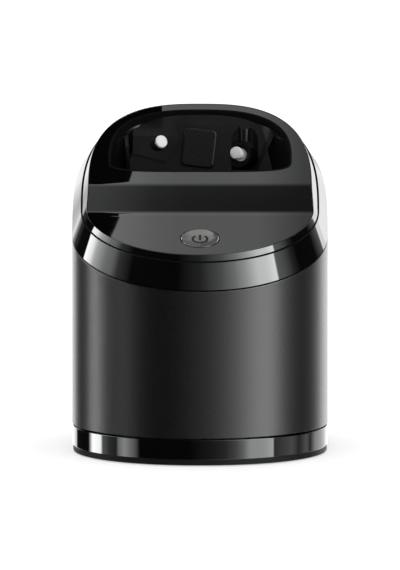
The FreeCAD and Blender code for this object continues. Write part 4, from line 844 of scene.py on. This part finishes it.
# ---- Charging contacts ----
# Turned brass pins, nickel-plated and blasted matt, each a thin head with a rounded front edge on
# a slimmer neck. A moulded ring stands round the root of the left one.
contact_plate, tree, surface, place = new_material("matt_nickel_plate")
surface.inputs["Metallic"].default_value = 1.0
blasting = add_node(
    tree, "ShaderNodeTexNoise", {"Scale": 1 / 0.0008, "Detail": 2.0}, {"Vector": place}
)
plate_gloss = add_node(
    tree, "ShaderNodeMapRange", {1: 0.3, 2: 0.7, 3: 0.78, 4: 0.88}, {0: blasting.outputs[0]}
)
tree.links.new(plate_gloss.outputs[0], surface.inputs["Roughness"])
plate_tint = add_node(
    tree, "ShaderNodeMix", {6: linear("b6b6b4"), 7: linear("c6c6c4")}, {0: blasting.outputs[0]},
    data_type="RGBA",
)
tree.links.new(plate_tint.outputs[2], surface.inputs["Base Color"])

contact_radius, contact_length, neck_radius = 0.0033, 0.007, 0.0023
stem_radius, stem_length = 0.0016, 0.003
swing, tilt = math.radians(24), math.radians(17)
ring_bore, ring_radius, ring_foot, ring_crest = 0.00245, 0.0041, -0.00498, -0.0038


def turned(mesh, outline, steps=64):
    """Solid of revolution about Z from an outline of (radius, height) points."""
    corners = [mesh.verts.new((radius, 0.0, height)) for radius, height in outline]
    edges = [mesh.edges.new(pair) for pair in zip(corners, corners[1:])]
    bmesh.ops.spin(
        mesh, geom=corners + edges, axis=(0, 0, 1), cent=(0, 0, 0), angle=2 * math.pi, steps=steps,
        use_merge=True, use_duplicate=False,
    )
    bmesh.ops.remove_doubles(mesh, verts=mesh.verts, dist=1e-7)


for word, side, tip in (
    ("left", -1, Vector((-0.0194, 0.035, 0.15261))), ("right", 1, Vector((0.0181, 0.0365, 0.14661)))
):
    outward = Vector((
        -side * math.sin(swing) * math.cos(tilt), -math.cos(swing) * math.cos(tilt), math.sin(tilt)
    ))
    mesh = bmesh.new()
    turned(mesh, [
        (0.0, 0.0), (contact_radius - 0.0009, 0.0), (contact_radius - 0.0005, -0.0001),
        (contact_radius - 0.00015, -0.0004), (contact_radius, -0.0008), (contact_radius, -0.0012),
        (contact_radius - 0.0002, -0.0015), (neck_radius + 0.0002, -0.0016), (neck_radius, -0.0018),
        (neck_radius, -contact_length + 0.0004), (contact_radius, -contact_length + 0.0004),
        (contact_radius, -contact_length), (stem_radius, -contact_length),
        (stem_radius, -contact_length - stem_length), (0.0, -contact_length - stem_length),
    ])
    contact_frame = Matrix.Translation(tip) @ outward.to_track_quat("Z", "Y").to_matrix().to_4x4()
    bmesh.ops.transform(mesh, matrix=contact_frame, verts=mesh.verts)
    pin = finish_piece("pin_" + word, mesh, "contact_" + word, contact_plate, "contact_" + word)
    if word == "left":
        mesh = bmesh.new()
        turned(mesh, [
            (ring_bore, ring_foot), (ring_radius, ring_foot), (ring_radius, ring_crest - 0.0003),
            (ring_radius - 0.0001, ring_crest - 0.0001), (ring_radius - 0.00025, ring_crest),
            (ring_bore, ring_crest - 0.0003), (ring_bore, ring_foot),
        ])
        bmesh.ops.transform(mesh, matrix=contact_frame, verts=mesh.verts)
        ring = finish_piece("pin_ring_left", mesh, "housing", inner_black)


# ---- Start button ----
# Dished cap of smoked, lightly metallised polycarbonate with a printed standby symbol,
# guided in a collar under the panel and returned by its switch.
smoked_cap, tree, surface, place = new_material("smoked_polycarbonate")
surface.inputs["IOR"].default_value = 1.58
surface.inputs["Metallic"].default_value = 0.35
cap_cloud = add_node(
    tree, "ShaderNodeTexNoise", {"Scale": 1 / 0.004, "Detail": 3.0}, {"Vector": place}
)
cap_gloss = add_node(
    tree, "ShaderNodeMapRange", {1: 0.3, 2: 0.7, 3: 0.08, 4: 0.12}, {0: cap_cloud.outputs[0]}
)
tree.links.new(cap_gloss.outputs[0], surface.inputs["Roughness"])
cap_tint = add_node(
    tree, "ShaderNodeMix", {6: linear("595957"), 7: linear("656563")}, {0: cap_cloud.outputs[0]},
    data_type="RGBA",
)
tree.links.new(cap_tint.outputs[2], surface.inputs["Base Color"])

cap_proud, dish_radius, dish_steps = 0.00035, 0.060, 12
flange_radius, flange_thick = button_radius + 0.0016, 0.001
pusher_radius, pusher_end = 0.0022, -0.0064
cap_low = -panel_drop * math.cos(button_slope) - 0.0013
dish_depth = button_radius**2 / (2 * dish_radius)


def on_dish(x, y):
    """Height of the dish at a place in the button's frame."""
    return cap_proud - dish_depth + (x * x + y * y) / (2 * dish_radius)


outline = []
for step in range(dish_steps + 1):
    radius = (button_radius - 0.0006) * step / dish_steps
    outline.append((radius, on_dish(radius, 0.0)))
outline += [
    (button_radius - 0.0004, cap_proud), (button_radius - 0.00015, cap_proud - 0.0001),
    (button_radius, cap_proud - 0.0004), (button_radius, cap_low + flange_thick),
    (flange_radius, cap_low + flange_thick), (flange_radius, cap_low), (pusher_radius, cap_low),
    (pusher_radius, pusher_end), (0.0, pusher_end),
]
mesh = bmesh.new()
turned(mesh, outline, 96)
bmesh.ops.transform(mesh, matrix=button_frame, verts=mesh.verts)
button = finish_piece("start_cap", mesh, "start_button", smoked_cap, "start_button")

# Standby symbol: open ring and bar in dark ink, a printed film on the dish.
symbol_ink, tree, surface, place = new_material("dark_printing_ink")
surface.inputs["Roughness"].default_value = 0.45
surface.inputs["Specular IOR Level"].default_value = 0.12
ink_cloud = add_node(
    tree, "ShaderNodeTexNoise", {"Scale": 1 / 0.001, "Detail": 2.0}, {"Vector": place}
)
ink_tint = add_node(
    tree, "ShaderNodeMix", {6: linear("0e0e0e"), 7: linear("1a1a1a")}, {0: ink_cloud.outputs[0]},
    data_type="RGBA",
)
tree.links.new(ink_tint.outputs[2], surface.inputs["Base Color"])
mark_radius, mark_line, mark_open = 0.0037, 0.0012, math.radians(74)
bar_length, bar_up, film = 0.0054, 0.0016, 0.00004
mesh = bmesh.new()
start = Vector((0.0, mark_radius, 0.0))
start.rotate(Matrix.Rotation(mark_open / 2, 3, "Z"))
radial = start.normalized() * mark_line / 2
section = [mesh.verts.new(start - radial), mesh.verts.new(start + radial)]
section_edge = mesh.edges.new(section)
bmesh.ops.spin(
    mesh, geom=section + [section_edge], axis=(0, 0, 1), cent=(0, 0, 0),
    angle=2 * math.pi - mark_open, steps=60, use_merge=False, use_duplicate=False,
)
bar = bmesh.ops.create_grid(mesh, x_segments=1, y_segments=8, size=0.5)["verts"]
bmesh.ops.scale(mesh, vec=(mark_line, bar_length, 1.0), verts=bar)
bmesh.ops.translate(mesh, vec=(0.0, bar_up, 0.0), verts=bar)
bmesh.ops.recalc_face_normals(mesh, faces=mesh.faces)
for corner in mesh.verts:
    corner.co.z = on_dish(corner.co.x, corner.co.y)
for face in mesh.faces:
    face.normal_update()
if sum(face.normal.z for face in mesh.faces) < 0:
    bmesh.ops.reverse_faces(mesh, faces=mesh.faces)
lifted = bmesh.ops.extrude_face_region(mesh, geom=mesh.faces[:], use_keep_orig=True)["geom"]
bmesh.ops.translate(
    mesh, vec=(0, 0, film), verts=[part for part in lifted if isinstance(part, bmesh.types.BMVert)]
)
bmesh.ops.transform(mesh, matrix=button_frame, verts=mesh.verts)
symbol = finish_piece("standby_symbol", mesh, "start_button", symbol_ink)


# ---- Tray, cartridge and lift gear ----
# Seen when the housing is up: matt tray, ground columns, drawn-wire springs and the cartridge,
# a blow-moulded polypropylene tub under a satin lid.
def dressed(name, colours, roughness, metallic, scale, relief, glint=0.5):
    """Material of an inside part: two tones over a noise of a real size, its gloss and grain."""
    material, tree, surface, place = new_material(name)
    surface.inputs["Metallic"].default_value = metallic
    surface.inputs["Specular IOR Level"].default_value = glint
    cloud = add_node(tree, "ShaderNodeTexNoise", {"Scale": 1 / scale, "Detail": 3.0}, {"Vector": place})
    tone = add_node(
        tree, "ShaderNodeMix", {6: linear(colours[0]), 7: linear(colours[1])}, {0: cloud.outputs[0]},
        data_type="RGBA",
    )
    tree.links.new(tone.outputs[2], surface.inputs["Base Color"])
    gloss = add_node(
        tree, "ShaderNodeMapRange", {1: 0.3, 2: 0.7, 3: roughness[0], 4: roughness[1]},
        {0: cloud.outputs[0]},
    )
    tree.links.new(gloss.outputs[0], surface.inputs["Roughness"])
    bump = add_node(
        tree, "ShaderNodeBump", {"Strength": relief, "Distance": 0.0001}, {"Height": cloud.outputs[0]}
    )
    tree.links.new(bump.outputs[0], surface.inputs["Normal"])
    return material


# Material slot: name, two tones, range of roughness, metallic, size of the grain, relief and, where
# it isn't 0.5, the strength of the highlight.
recipes = {
    # The tray's highlight is turned down to 0.1: painted shade standing in for the contact shadow round
    # the foot.
    "base_plastic": ("matt_black_abs", ("0d0d0d", "141414"), (0.5, 0.62), 0.0, 0.0008, 0.2, 0.1),
    "rubber": ("moulded_nitrile_rubber", ("0f0f0f", "191919"), (0.65, 0.8), 0.0, 0.001, 0.3),
    "polished_steel": ("ground_steel_bar", ("b4b4b6", "cbcbcd"), (0.18, 0.28), 1.0, 0.002, 0.04),
    "zinc_screw": ("zinc_plated_steel", ("a8abad", "c4c6c6"), (0.3, 0.42), 1.0, 0.001, 0.08),
    "spring_steel": ("drawn_spring_wire", ("8b8c90", "a6a7aa"), (0.25, 0.38), 1.0, 0.0009, 0.1),
    "cartridge_plastic": ("smoky_polypropylene", ("4a4e52", "5a5e62"), (0.34, 0.46), 0.0, 0.004, 0.06),
    "cartridge_lid": ("satin_polypropylene_lid", ("33363a", "3e4246"), (0.4, 0.5), 0.0, 0.0012, 0.12),
    "chassis_plastic": ("glass_filled_nylon", ("2b2b2b", "363636"), (0.45, 0.6), 0.0, 0.0009, 0.25),
    "bush": ("acetal_bush", ("d6d3ca", "e2dfd6"), (0.3, 0.4), 0.0, 0.002, 0.05),
    "pump_plastic": ("natural_acetal", ("c9c8c2", "d8d7d1"), (0.32, 0.45), 0.0, 0.002, 0.08),
    "motor_can": ("plated_motor_can", ("b2b4b5", "c8c9c9"), (0.22, 0.34), 1.0, 0.003, 0.05),
    "hose": ("silicone_hose", ("b9b9b4", "cacac5"), (0.4, 0.55), 0.0, 0.002, 0.1),
    "switch_black": ("black_switch_nylon", ("1a1a1a", "242424"), (0.4, 0.5), 0.0, 0.001, 0.1),
    "board": ("green_solder_resist", ("17472a", "1f5a35"), (0.28, 0.4), 0.0, 0.0016, 0.06),
}
finishes = {
    "inner_black": inner_black,
    "contact_metal": contact_plate,
    "gloss_black": gloss_black,
    "soft_pad": soft_pad,
    "apron_finish": apron_coat,
    "button_grey": smoked_cap,
}
for slot_name, recipe in recipes.items():
    finishes[slot_name] = dressed(*recipe)
for part in frame["record"]["subparts"]:
    carried = frame["nodes"][part["node"]]
    finish = finishes[part["material_slot"]]
    if carried.material_slots:
        for place_slot in carried.material_slots:
            place_slot.material = finish
    else:
        carried.data.materials.append(finish)
